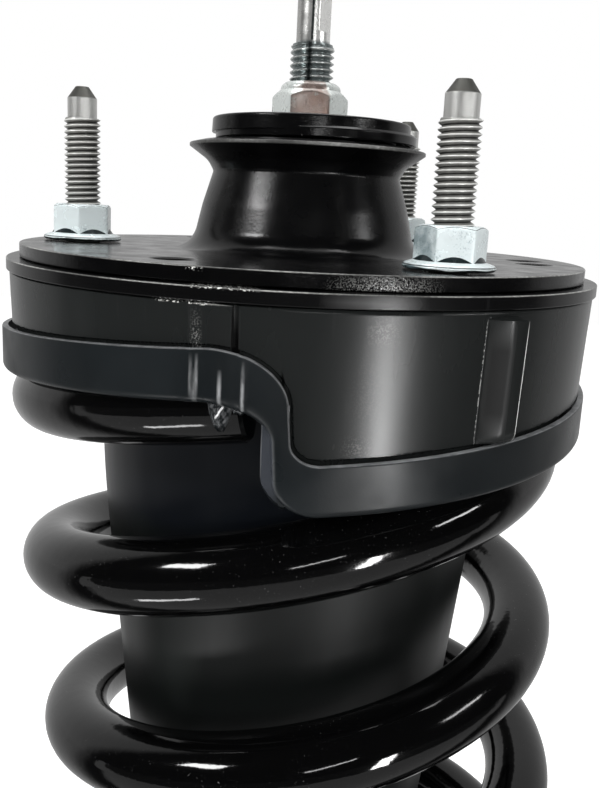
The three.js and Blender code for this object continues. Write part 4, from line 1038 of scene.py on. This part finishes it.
def bend_spring(wire):
    """Bakes the wire's transform and gives each of its points a share of the turns between the closed
    ends; the shares are not used.
    """
    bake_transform(wire)
    turns = np.linspace(0, COIL_TURNS, 600)
    centre = coil_points(turns)
    spots = np.array([v.co for v in wire.data.vertices]) / MM
    share = np.clip((turns - 0.75) / (COIL_TURNS - 1.5), 0, 1)
    weights = np.empty(len(spots), np.float32)
    for start in range(0, len(spots), 2000):
        part = spots[start:start + 2000]
        gap = np.linalg.norm(part[:, None] - centre[None], axis=2)
        weights[start:start + 2000] = share[gap.argmin(1)]


# -------------------- stepped rings
STEP_LOW, STEP_HIGH = -86, 257
RAMP_STEPS, SHOULDER_STEPS, WALL_STEPS, FOOT_STEPS = 460, 26, 8, 22
STEP_WALL = 0.4  # degrees
BAND_HEIGHT = 11.4
BAND_R = 81.45
TOP_EDGE, LOW_EDGE = 0.4, 1.7  # radii of the band's rounded edges
RECESS, RECESS_WIDTH = 1.2, 0.8  # the wall steps in just above the isolator's band
WIRE_GAP = 0.5
CUP_WALL_R, CUP_TAPER = 80.08, 0.035
CUP_INSIDE_R, CUP_FOOT = 57.9, 3.1  # the foot is this far above the pad's underside
PAD_IN, PAD_OUT, PAD_THICK = 58.6, 79.2, 2.7
FLANGE = 3  # the cup's sheet where it turns in


def band_ramp(azimuth):
    share = (azimuth - STEP_LOW) / (STEP_HIGH - STEP_LOW)
    return -39.7 + 23.96 * share + 1.55 * np.cos(np.radians(azimuth))


def pad_ramp(azimuth):
    turns = np.maximum((COIL_AZIMUTH + 360 - azimuth) / 360, 0)
    wire_top = coil_points(turns)[..., 2] + WIRE_R
    return np.maximum(wire_top + WIRE_GAP, band_ramp(azimuth) - BAND_HEIGHT + 1)


def step_curve(ramp, start, wall, shoulder, foot):
    """Azimuths and heights once round a stepped edge, evenly spaced along its curves.

    From the step's low side the edge climbs by ramp, and ends in a round shoulder,
    a steep wall and a round foot back at the low side.
    """
    climb = np.linspace(STEP_LOW, start + 360, RAMP_STEPS)
    low, high = ramp(np.array([STEP_LOW, start + 360.0]))
    t = np.radians(np.linspace(0, 90, SHOULDER_STEPS + 1))[1:]
    shoulder_a = start + (wall - start) * np.sin(t)
    shoulder_z = high - shoulder * (1 - np.cos(t))
    w = np.linspace(0, 1, WALL_STEPS + 1)[1:]
    wall_z = high - shoulder - w * (high - low - shoulder - foot)
    t = np.radians(np.linspace(90, 0, FOOT_STEPS + 1))[1:-1]
    foot_a = STEP_LOW - (STEP_LOW - wall - STEP_WALL) * np.sin(t)
    foot_z = low + foot * (1 - np.cos(t))
    azimuths = [climb, shoulder_a + 360, wall + STEP_WALL * w + 360, foot_a + 360]
    heights = [ramp(climb), shoulder_z, wall_z, foot_z]
    return np.concatenate(azimuths), np.concatenate(heights)


BAND_TOP_LINE = step_curve(band_ramp, -103, -90.9, 12, 4.7)
BAND_LOW_LINE = step_curve(lambda a: band_ramp(a) - BAND_HEIGHT, -104, -93.5, 7.6, 8)
PAD_LINE = step_curve(pad_ramp, -102.5, -92.2, 10, 7.5)


def from_step(azimuths):
    """Azimuths brought into the turn that begins at the step's low side."""
    return (azimuths - STEP_LOW) % 360 + STEP_LOW


def height_on(line, azimuths):
    order = np.argsort(line[0])
    return np.interp(from_step(azimuths), line[0][order], line[1][order])


def from_front(azimuths, middle=0):
    return (azimuths - middle + 180) % 360 - 180


def ridge(azimuths, middle, half, height):
    """A smooth bump in azimuth, in millimetres of height."""
    away = np.clip(from_front(azimuths, middle) / half, -1, 1)
    return height * np.cos(away * np.pi / 2) ** 2


def plateau(azimuths, start, end, flank):
    """1 between two azimuths, with soft flanks, flank degrees wide."""
    away = np.abs(from_front(azimuths, (start + end) / 2))
    return smooth(((end - start) / 2 - away) / flank)


def boss_height(azimuths):
    """The pressed boss beside the step: it swells from the left and sinks to a sharp edge."""
    a = from_front(azimuths)
    swell = np.clip((a + 106.6) / 2.2, 0, 1)
    swell = swell * (2 - swell)
    sink = np.clip((a + 104.0) / 5.2, 0, 1)
    boss = (0.85 * swell - 0.5 * sink ** 2) * np.clip((-98.8 - a) / 0.12, 0, 1)
    return boss - 1.3 * plateau(a, -99.75, -98.8, 0.13)


def rib_height(azimuths):
    """The rib's section: a rounded rise from the left, a narrow face and a sharp right flank."""
    s = np.radians(from_front(azimuths) - RIB_START) * 80
    end = math.radians(RIB_WIDTH) * 80
    across = np.linspace(0, end, 200)
    slope = np.interp(across, [0, 4.2, 5.1, end], [0.75, 0.58, 0.28, 0.02])
    climb = np.concatenate([[0], np.cumsum(slope[1:] * np.diff(across))])
    flank = np.clip((end - s) / 0.4, 0, 1) ** 0.5
    return np.interp(s, across, climb) * np.clip(s / 0.4, 0, 1) * flank


def cup_radius(azimuths, z):
    return CUP_WALL_R - CUP_TAPER * (CUP_TOP - z) + boss_height(azimuths)


def above_band(azimuths, heights):
    """How far points on the cup's wall are from the band's top edge, negative behind it."""
    above = heights - height_on(BAND_TOP_LINE, azimuths)
    u, v = np.radians(BAND_TOP_LINE[0]) * BAND_R, BAND_TOP_LINE[1]
    away = np.empty(len(azimuths))
    for i, (here, z) in enumerate(zip(np.radians(from_step(azimuths)) * BAND_R, heights)):
        du = np.abs(u - here)
        du = np.minimum(du, 2 * np.pi * BAND_R - du)
        away[i] = np.sqrt((du * du + (v - z) ** 2).min())
    return np.sign(above) * away


def spring_cup():
    azimuths = np.concatenate([
        np.linspace(start, end, count, endpoint=False)
        for start, end, count in [(-120, -80, 330), (-80, -62, 60), (-62, -52, 260), (-52, 240, 560)]
    ])
    low = height_on(PAD_LINE, azimuths) + CUP_FOOT
    top = box("spring_cup")[1].z
    rows = [ring_points(azimuths, CUP_INSIDE_R, z) for z in (low + FLANGE, low)]
    rib = rib_height(azimuths)
    for i, share in enumerate(np.concatenate([[0], np.linspace(0, 1, 130)])):
        z = low + (top - low) * share
        inset = 2.0 if i == 0 else 1.4 * max(0.0, 1 - share * 30)
        inset += 0.3 * max(0.0, (share - 0.985) / 0.015)
        foot = np.sqrt(np.clip(1 - np.clip((-33.6 - z) / 3.4, 0, 1) ** 2, 0, 1))
        rib_z = np.clip((-8.4 - z) / 0.4, 0, 1) * foot
        recess = RECESS * np.clip((RECESS_WIDTH - above_band(azimuths, z)) / 0.3, 0, 1)
        radius = cup_radius(azimuths, z) - inset + rib * rib_z - recess
        rows.append(ring_points(azimuths, radius, z))
    rows.append(ring_points(azimuths, cup_radius(azimuths, top) - FLANGE, top))
    rows.append(ring_points(azimuths, cup_radius(azimuths, low) - FLANGE, low + FLANGE))
    shape = Shape().grid(np.stack(rows), "both")
    piece("spring_cup_skin", shape, "spring_cup", 45)


def edge_normals(azimuths, heights):
    """Unit directions, in the unrolled band, from an edge towards the band's inside."""
    u = np.radians(azimuths) * BAND_R
    du = np.roll(u, -1) - np.roll(u, 1)
    du = (du + np.pi * BAND_R) % (2 * np.pi * BAND_R) - np.pi * BAND_R
    dz = np.roll(heights, -1) - np.roll(heights, 1)
    length = np.hypot(du, dz)
    return dz / length, -du / length


def moved_in(line, normals, inset):
    """An edge's azimuths and heights, this far inside it."""
    return line[0] + np.degrees(normals[0] * inset / BAND_R), line[1] + normals[1] * inset


def band_outer(azimuths):
    """The band's outside radius: it stretches over the cup's boss in soft folds."""
    r = BAND_R - 0.75 * np.cos(np.radians(azimuths)) + 0.45 * plateau(azimuths, -107.2, -97.6, 2.2)
    for middle, half, height in [(-106.3, 0.7, 0.3), (-105.2, 0.55, 0.25), (-101.9, 0.55, 0.3),
                                 (-97.9, 0.6, 0.45)]:
        r = r + ridge(azimuths, middle, half, height)
    return r


def upper_isolator():
    top_a, top_z = BAND_TOP_LINE
    low_a, low_z = BAND_LOW_LINE
    pad_a, pad_z = PAD_LINE
    top_in = edge_normals(top_a, top_z)
    low_in = edge_normals(low_a, low_z)
    inner = band_outer(top_a) - 1.5
    rows = [
        ring_points(top_a, cup_radius(top_a, top_z) - RECESS + 0.1, top_z - 3.2),
        ring_points(top_a, inner - 0.1, top_z - 3), ring_points(top_a, inner, top_z),
    ]
    for angle in np.radians(np.linspace(0, 90, 9)):
        a, z = moved_in(BAND_TOP_LINE, top_in, TOP_EDGE * (1 - math.cos(angle)))
        rows.append(ring_points(a, band_outer(top_a) - TOP_EDGE * (1 - math.sin(angle)), z))
    low_edge = LOW_EDGE + ridge(low_a, -97, 6.5, 1.6)
    upper = moved_in(BAND_TOP_LINE, top_in, TOP_EDGE)
    lower = moved_in(BAND_LOW_LINE, low_in, -low_edge)
    for share in np.linspace(0, 1, 14)[1:]:
        a, z = (first + (last - first) * share for first, last in zip(upper, lower))
        rows.append(ring_points(a, band_outer(a), z))
    for angle in np.radians(np.linspace(0, 90, 10))[1:]:
        a, z = moved_in(BAND_LOW_LINE, low_in, -low_edge * (1 - math.sin(angle)))
        rows.append(ring_points(a, band_outer(a) - LOW_EDGE * (1 - math.cos(angle)), z))
    under = np.minimum(pad_z, low_z + 14)
    over = pad_z + PAD_THICK
    rows.append(ring_points(low_a, PAD_OUT + 0.1, low_z))
    for r, z in [(PAD_OUT, under), (PAD_IN, under), (PAD_IN, over), (PAD_OUT - 0.6, over)]:
        rows.append(ring_points(pad_a, r, z))
    shape = Shape().grid(np.stack(rows), "both")
    stop_wall(shape)
    wire_tab(shape)
    piece("upper_isolator_skin", shape, "upper_isolator", 50)


def stop_wall(shape):
    """The rubber wall that the wire's cut end butts against, from the pad down."""
    shares = np.linspace(0, 1, 18)
    rows = []
    for share in shares:
        edge = 0.5 if share in (0, 1) else 0.0
        low = -44.8 + edge - 5.5 * (1 - (1 - share) ** 2)
        line = [(60.5, -24), (60.5, low + 1), (61.5, low), (77.5, low), (79.4 - edge, low + 1.5),
                (80.2 - edge, -38), (80.2 - edge, -27)]
        rows.append([ring_points(-94.9 + 4.1 * share, r, z) for r, z in line])
    shape.grid(rows)


def wire_tab(shape):
    """Two crumpled lumps of rubber that reach down over the wire near its end."""
    across, down = np.meshgrid(np.linspace(0, 1, 60), np.linspace(0, 1, 44))
    for middle, width, length, tip in [(-101.6, 4.3, 7.6, 0.8), (-98.4, 3.4, 3.6, 0.35)]:
        a = middle + (across - 0.5) * width * (1 - tip * down ** 1.7)
        fold = 0.42 * np.sin(9 * across + 5 * down) + 0.3 * np.sin(19 * across - 13 * down + 1)
        fold += 0.16 * np.sin(31 * across + 23 * down + 2) + 0.05 * np.sin(57 * across - 44 * down)
        edge = np.clip(np.minimum(across, 1 - across) * 5, 0, 1) * np.clip((1 - down) * 5, 0, 1)
        r = 77.6 + np.sqrt(edge) * (2.3 + fold * 0.8) - 0.8 * down ** 2
        z = -26.6 - length * down - 0.35 * np.sin(14 * across) * down
        shape.grid(ring_points(a, r, z))


# -------------------- dust boot
BOOT_WALL, BOOT_TOP_R = 2.4, 56


def dust_boot():
    low, high = span("dust_boot")
    heights = np.linspace(low + 0.6, high - 0.8, 70)
    key_z = [low, -160, -135, -114, -90, -70, -56, -40, high]
    key_r = [43.4, 46.1, 48.7, 50.7, 53.0, 54.9, 55.7, BOOT_TOP_R, BOOT_TOP_R]
    radii = np.interp(heights, key_z, key_r)
    radii = np.convolve(np.pad(radii, 3, mode="edge"), np.ones(7) / 7, "valid")
    profile = [
        (radii[0] - 0.5, low), *zip(radii, heights), (BOOT_TOP_R - 0.5, high),
        (BOOT_TOP_R - BOOT_WALL + 0.3, high), *zip(radii[::-1] - BOOT_WALL, heights[::-1]),
        (radii[0] - BOOT_WALL + 0.5, low),
    ]
    piece("dust_boot_skin", Shape().turned(profile, 256), "dust_boot")


# -------------------- damper body
CAP_IN, CAP_OUT = 26.3, 27.9


def damper_body():
    low, high = box("damper_tube")
    r, tube_low = high.x, low.z
    profile = ring_section(r - 1.8, r, low.z, high.z, (0.3, 0.3, 0.5, 0.3))
    piece("damper_tube_body", Shape().turned(profile, 192), "damper_tube")
    low, high = span("tube_cap")
    turned_piece("tube_cap", [
        (10.2, high - 3.5, 0.3), (CAP_IN, high - 3.5), (CAP_IN, low, 0.3), (CAP_OUT, low, 0.4),
        (CAP_OUT, high, 1.6), (20, high, 0.5), (19, high - 0.7, 0.5), (13, high - 0.7, 0.5),
        (12, high, 0.4), (10.2, high, 0.4),
    ], 192)
    low, high = span("bottom_cap")
    profile = rounded([
        (0, low), (15, low, 0.5), (19, tube_low - 3, 2), (27.6, tube_low - 3, 0.8),
        (27.6, tube_low - 0.3, 0.5), (24, tube_low - 0.3), (24, high, 0.4), (0, high),
    ], 10)
    eye = Shape().turned([(0, -40), (EYE_R, -40), (EYE_R, 40), (0, 40)], 96, along="x")
    piece("bottom_cap_body", cut(Shape().turned(profile, 192), [eye]), "bottom_cap")


# -------------------- lower spring seat
SEAT_RIM_R = 81.3
SEAT_CLIMB, SEAT_END = 340, 360  # degrees from the wire's lower end: the step lies between
SEAT_LEAVE = 0.7  # turns from there on which the seat climbs less than the wire
SEAT_SHEET, PAD_SHEET = 3, 3
NECK_IN, NECK_OUT, WELD_R = 26.4, 29.4, 27.2  # about the damper tube
# the seat's section, from its rim and its floor
SEAT_RIM = [
    (0, -3), (1.8, -2.4), (2.8, -1), (3, 0.5), (3, 8.2), (2.7, 8.85), (2, 9), (1.3, 8.6),
    (0.9, 7.5), (0.2, 1), (0, 0),
]


def weld_bead(shape, radius, z, width):
    """A ring of overlapping weld ripples in the corner between a tube and what it carries."""
    angles = full_turn(720)
    size = width + np.abs(np.sin(angles * radius / 2.4 * np.pi / 2)) * 0.25
    rows = [
        ring_points(np.degrees(angles), radius + size * np.cos(t), z + size * np.sin(t) * 0.8)
        for t in np.radians(np.linspace(-60, 240, 14))
    ]
    shape.grid(np.stack(rows, 1), "rows")


def wire_under(turns):
    """The height of the wire's underside, in turns up from its lower end."""
    return coil_points(COIL_TURNS - turns)[..., 2] - WIRE_R


def seat_line():
    """Azimuths and heights of the wire's underside round the lower seat, with its step."""
    slope = (wire_under(SEAT_LEAVE) - wire_under(SEAT_LEAVE - 0.02)) / 0.02
    step = np.linspace(SEAT_CLIMB, SEAT_END, 60)[1:-1]
    degrees = np.concatenate([np.linspace(0, SEAT_CLIMB, 400), step])
    past = np.maximum(degrees / 360 - SEAT_LEAVE, 0)
    climb = wire_under(np.minimum(degrees / 360, SEAT_LEAVE)) + slope * 0.15 * past
    high, low = climb[399], climb[0]
    fall = high - (high - low) * smooth((degrees - SEAT_CLIMB) / 15.5)
    heights = np.where(degrees <= SEAT_CLIMB, climb, fall)
    return degrees + COIL_AZIMUTH - 360 * COIL_TURNS, heights


def lower_seat():
    azimuths, line = seat_line()
    cx, cy = coil_axis(coil_drop(COIL_TURNS))

    def to_damper(radius):
        """Distance from the seat's centre to a circle about the damper's axis."""
        along = -(cx * np.cos(np.radians(azimuths)) + cy * np.sin(np.radians(azimuths)))
        return along + np.sqrt(along * along - (cx * cx + cy * cy) + radius * radius)

    def ring(section):
        rows = [ring_points(azimuths, r, z) + [cx, cy, 0] for r, z in section]
        return Shape().grid(np.stack(rows), "both")

    neck = box("lower_seat")[0].z
    floor = line - WIRE_GAP - PAD_SHEET - 0.3
    inner, outer = to_damper(NECK_IN), to_damper(NECK_OUT)
    seat = ring([
        (inner, neck), (outer - 0.4, neck), (outer, neck + 0.4), (outer, neck + 6),
        (outer + 2.5, neck + 9), (58, floor - 4.2), (61, floor - 3.2), (64, floor - SEAT_SHEET),
        *((SEAT_RIM_R + r, floor + z) for r, z in SEAT_RIM),
        (64, floor), (60.5, floor - 0.2), (58, floor - 1.4),
        (outer + 1.2, neck + 15), (outer, neck + 15.8), (inner, neck + 16),
    ])
    weld_bead(seat, WELD_R, neck + 0.2, 1.5)
    piece("lower_seat_skin", seat, "lower_seat", 50)
    top = line - WIRE_GAP
    pad = ring([
        (59.8, top - PAD_SHEET), (SEAT_RIM_R - 0.5, top - PAD_SHEET), (SEAT_RIM_R - 0.3, top - 2.5),
        (SEAT_RIM_R - 0.3, top - 0.8), (SEAT_RIM_R - 0.9, top - 0.1), (SEAT_RIM_R - 1.8, top),
        (60.6, top), (59.8, top - 0.7),
    ])
    piece("lower_pad_skin", pad, "lower_pad", 50)


# -------------------- lower eye and bar pin
EYE_R = 26.3
SADDLE_R = 16.2
PIN_R, PIN_HALF_WIDTH, PIN_HALF_THICK = 9.5, 15, 5
PIN_HOLE_X, PIN_HOLE_R = 39.5, 6.25
PIN_END = 4  # length of its rounded ends


def lower_eye():
    low, high = box("eye_ring")
    outer = (high.z - low.z) / 2
    profile = ring_section(outer - 4.5, outer, -high.x, high.x, (0.5, 0.8, 0.8, 0.5))
    shape = Shape().turned(profile, 160, along="x")
    saddle_weld(shape, outer)
    piece("eye_ring_body", shape, "eye_ring")
    face = box("eye_bushing")[1].x
    half = [(9.7, face - 0.2, 0.3), (12.5, face, 0.6), (14.5, face - 2.6, 1.2),
            (18, face - 2.8, 1.2), (20.3, face - 1.2, 0.8), (21.2, face - 2, 0.3)]
    other = [(r, -x, fillet) for r, x, fillet in half]
    turned_piece("eye_bushing", [*other, *half[::-1]], along="x")


def saddle_weld(shape, eye_r):
    """Weld ripples where the bottom cap's saddle meets the eye, as a closed loop."""
    turns = full_turn(480)
    height = np.sqrt(eye_r ** 2 - (SADDLE_R * np.sin(turns)) ** 2)
    size = 1.5 + 0.22 * np.abs(np.sin(turns * 22))
    rows = []
    for t in full_turn(14):
        z = EYE_Z + height + size * np.sin(t) * 0.8
        rows.append(ring_points(np.degrees(turns), SADDLE_R + size * np.cos(t), z))
    shape.grid(np.stack(rows, 1), "both")


def bar_pin():
    """A round bar forged flat at both ends: round sections pass into flat ones."""
    last = box("bar_pin")[1].x - PIN_END
    xs = np.concatenate([
        np.linspace(0, 22, 6), np.linspace(23, 31, 14), np.linspace(33, last, 5),
        last + PIN_END * np.sin(np.radians(np.linspace(0, 90, 9)))[1:],
    ])
    c, s = np.cos(full_turn(72)), np.sin(full_turn(72))
    rows = []
    for x in [*-xs[:0:-1], *xs]:
        flat = smooth((abs(x) - 23) / 8)
        end = max(0.0, (abs(x) - last) / PIN_END)
        drawn_in = 1 - math.sqrt(max(0.0, 1 - end * end))
        half_y = PIN_R + (PIN_HALF_WIDTH - PIN_R) * flat - 4 * drawn_in
        half_z = PIN_R + (PIN_HALF_THICK - PIN_R) * flat - 0.8 * drawn_in
        power = 2 + 7 * flat
        size = (np.abs(c) ** power + np.abs(s) ** power) ** (-1 / power)
        rows.append(np.stack([np.full(72, x), half_y * size * c, EYE_Z + half_z * size * s], -1))
    shape = Shape().grid(np.stack(rows), "columns")
    shape.fan(rows[0])
    shape.fan(rows[-1], inward=True)
    cutters = [
        hole_cutter(PIN_HOLE_R, EYE_Z - PIN_HALF_THICK, EYE_Z + PIN_HALF_THICK, (x, 0), 0.6)
        for x in (-PIN_HOLE_X, PIN_HOLE_X)
    ]
    piece("bar_pin_body", cut(shape, cutters), "bar_pin", 45)


# -------------------- stage and light
FLOOR_GLOW = 0.7
FLOOR_SIZE = 4  # metres
ROOM_FILL = 0.55
# how far back a direction points, and the room's brightness there
ROOM_STOPS = [(-0.2, 0.012), (0.05, 0.02), (0.28, 0.5), (0.85, 0.58)]
FLOOR_STOPS = [
    (-0.93, 0.04), (-0.87, 0.46), (-0.16, 0.42), (-0.08, 0.02), (0, 0.02), (0.28, 0.45), (0.85, 0.58),
]
LAMP_AIM = Vector((0, 0, -0.07))


def room_brightness(nodes, back, stops):
    """Brightness of the room in reflections, by how far a direction points to the back."""
    ramp = nodes.add("ShaderNodeValToRGB")
    ramp.color_ramp.interpolation = "EASE"
    elements = ramp.color_ramp.elements
    for i, (y, level) in enumerate(stops):
        stop = elements[i] if i < 2 else elements.new(0.5 + y / 2)
        stop.position = 0.5 + y / 2
        stop.color = (level, level, level, 1)
    nodes.join(nodes.between(back, -1, 1), ramp.inputs["Fac"])
    return ramp.outputs["Color"]


def seen_directly(nodes, path):
    return nodes.math("MAXIMUM", path["Is Camera Ray"], path["Is Transmission Ray"])


def floor():
    """A pale floor that keeps the shadow, with the room's brightness in reflections."""
    z = CAD_BOX[0].z - 0.0005
    mesh = bpy.data.meshes.new("floor")
    corners = [(-1, -1), (1, -1), (1, 1), (-1, 1)]
    mesh.from_pydata([(x * FLOOR_SIZE, y * FLOOR_SIZE, z) for x, y in corners], [], [(0, 1, 2, 3)])
    made = in_scene("floor", mesh)
    paint = Paint("floor_paint", (0.84, 0.84, 0.84), 0.7)
    paint.rough_noise(3, 2, 0.6, 0.8)
    paint.shader.inputs["Emission Color"].default_value = (1, 1, 1, 1)
    path = paint.add("ShaderNodeLightPath").outputs
    glow = paint.times(seen_directly(paint, path), FLOOR_GLOW)
    paint.join(glow, paint.shader.inputs["Emission Strength"])
    away = paint.add("ShaderNodeVectorMath", operation="NORMALIZE")
    paint.join(paint.place, away.inputs[0])
    _, back, up = paint.split(away.outputs[0])
    far = paint.between(up, -0.45, -0.22, 1, 9)  # the floor is dark a long way in front
    back = paint.math("MINIMUM", back, paint.times(back, far))
    reflected = paint.add("ShaderNodeEmission")
    paint.join(room_brightness(paint, back, FLOOR_STOPS), reflected.inputs["Strength"])
    surface = paint.mixed(path["Is Glossy Ray"], paint.shader.outputs[0], reflected.outputs[0])
    paint.join(surface, paint.tree.nodes["Material Output"].inputs["Surface"])
    mesh.materials.append(paint.material)


def world():
    """White for the camera, an even light, and a room that is dark in front in reflections."""
    made = bpy.data.worlds.new("studio")
    bpy.context.scene.world = made
    made.use_nodes = True
    made.node_tree.nodes.clear()
    nodes = Nodes(made.node_tree)
    path = nodes.add("ShaderNodeLightPath").outputs
    room, soft, white = (nodes.add("ShaderNodeBackground") for _ in range(3))
    for background in (room, soft, white):
        background.inputs["Color"].default_value = (1, 1, 1, 1)
    back = nodes.split(nodes.add("ShaderNodeTexCoord").outputs["Generated"])[1]
    nodes.join(room_brightness(nodes, back, ROOM_STOPS), room.inputs["Strength"])
    soft.inputs["Strength"].default_value = ROOM_FILL
    lit = nodes.mixed(path["Is Glossy Ray"], soft.outputs[0], room.outputs[0])
    final = nodes.mixed(seen_directly(nodes, path), lit, white.outputs[0])
    nodes.join(final, nodes.add("ShaderNodeOutputWorld").inputs["Surface"])


def lamp(name, azimuth, elevation, distance, size, radiance, slant=0.0, seen_by="both"):
    """A soft rectangular lamp at an azimuth and elevation from the strut's upper part.

    Its radiance is in units of white, and slant turns it about its own axis, in degrees.
    """
    data = bpy.data.lights.new(name, "AREA")
    data.shape = "RECTANGLE"
    data.size, data.size_y = size
    data.energy = radiance * math.pi * size[0] * size[1]
    made = in_scene(name, data)
    x, y = polar(math.cos(math.radians(elevation)), azimuth)
    away = Vector((x, y, math.sin(math.radians(elevation))))
    turned = away.to_track_quat("Z", "Y") @ Quaternion((0, 0, 1), math.radians(slant))
    made.matrix_world = Matrix.Translation(LAMP_AIM + away * distance) @ turned.to_matrix().to_4x4()
    made.visible_camera = False
    made.visible_glossy = seen_by != "diffuse"
    made.visible_diffuse = seen_by != "glossy"


def lamps():
    lamp("key_left", -146, 31, 1.2, (0.36, 0.17), 24)
    lamp("low_left", -136, -44, 0.56, (0.2, 0.042), 11)
    lamp("front_strip", -84, 12, 1.2, (0.4, 0.045), 11.5, 24)
    lamp("low_right", -59, -13, 0.9, (0.1, 0.3), 40, seen_by="glossy")
    lamp("right_strip", -28, 24, 0.6, (0.2, 0.035), 14, 12)
    lamp("front_fill", -97, 14, 1.2, (0.5, 0.4), 8, seen_by="diffuse")
    lamp("overhead", -90, 78, 1.3, (0.9, 0.6), 3, seen_by="diffuse")
    lamp("overhead_gleam", 90, 80, 1.3, (1.0, 0.7), 4, seen_by="glossy")


# -------------------- everything together
for build in (
    tower_plate, cup_plate, studs, stud_nuts, rod_nut, damper_rod, top_washer,
    plain_turned_pieces, centre_bushing, bump_stop, coil_spring, spring_cup, upper_isolator,
    dust_boot, damper_body, lower_seat, lower_eye, bar_pin,
):
    build()

for node_name, node_object in frame["nodes"].items():
    for material_slot in node_object.material_slots:
        material_slot.material = MATERIALS[SLOT_OF[node_name]]

floor()
world()
lamps()

scene = bpy.context.scene
scene.view_settings.view_transform = "Standard"
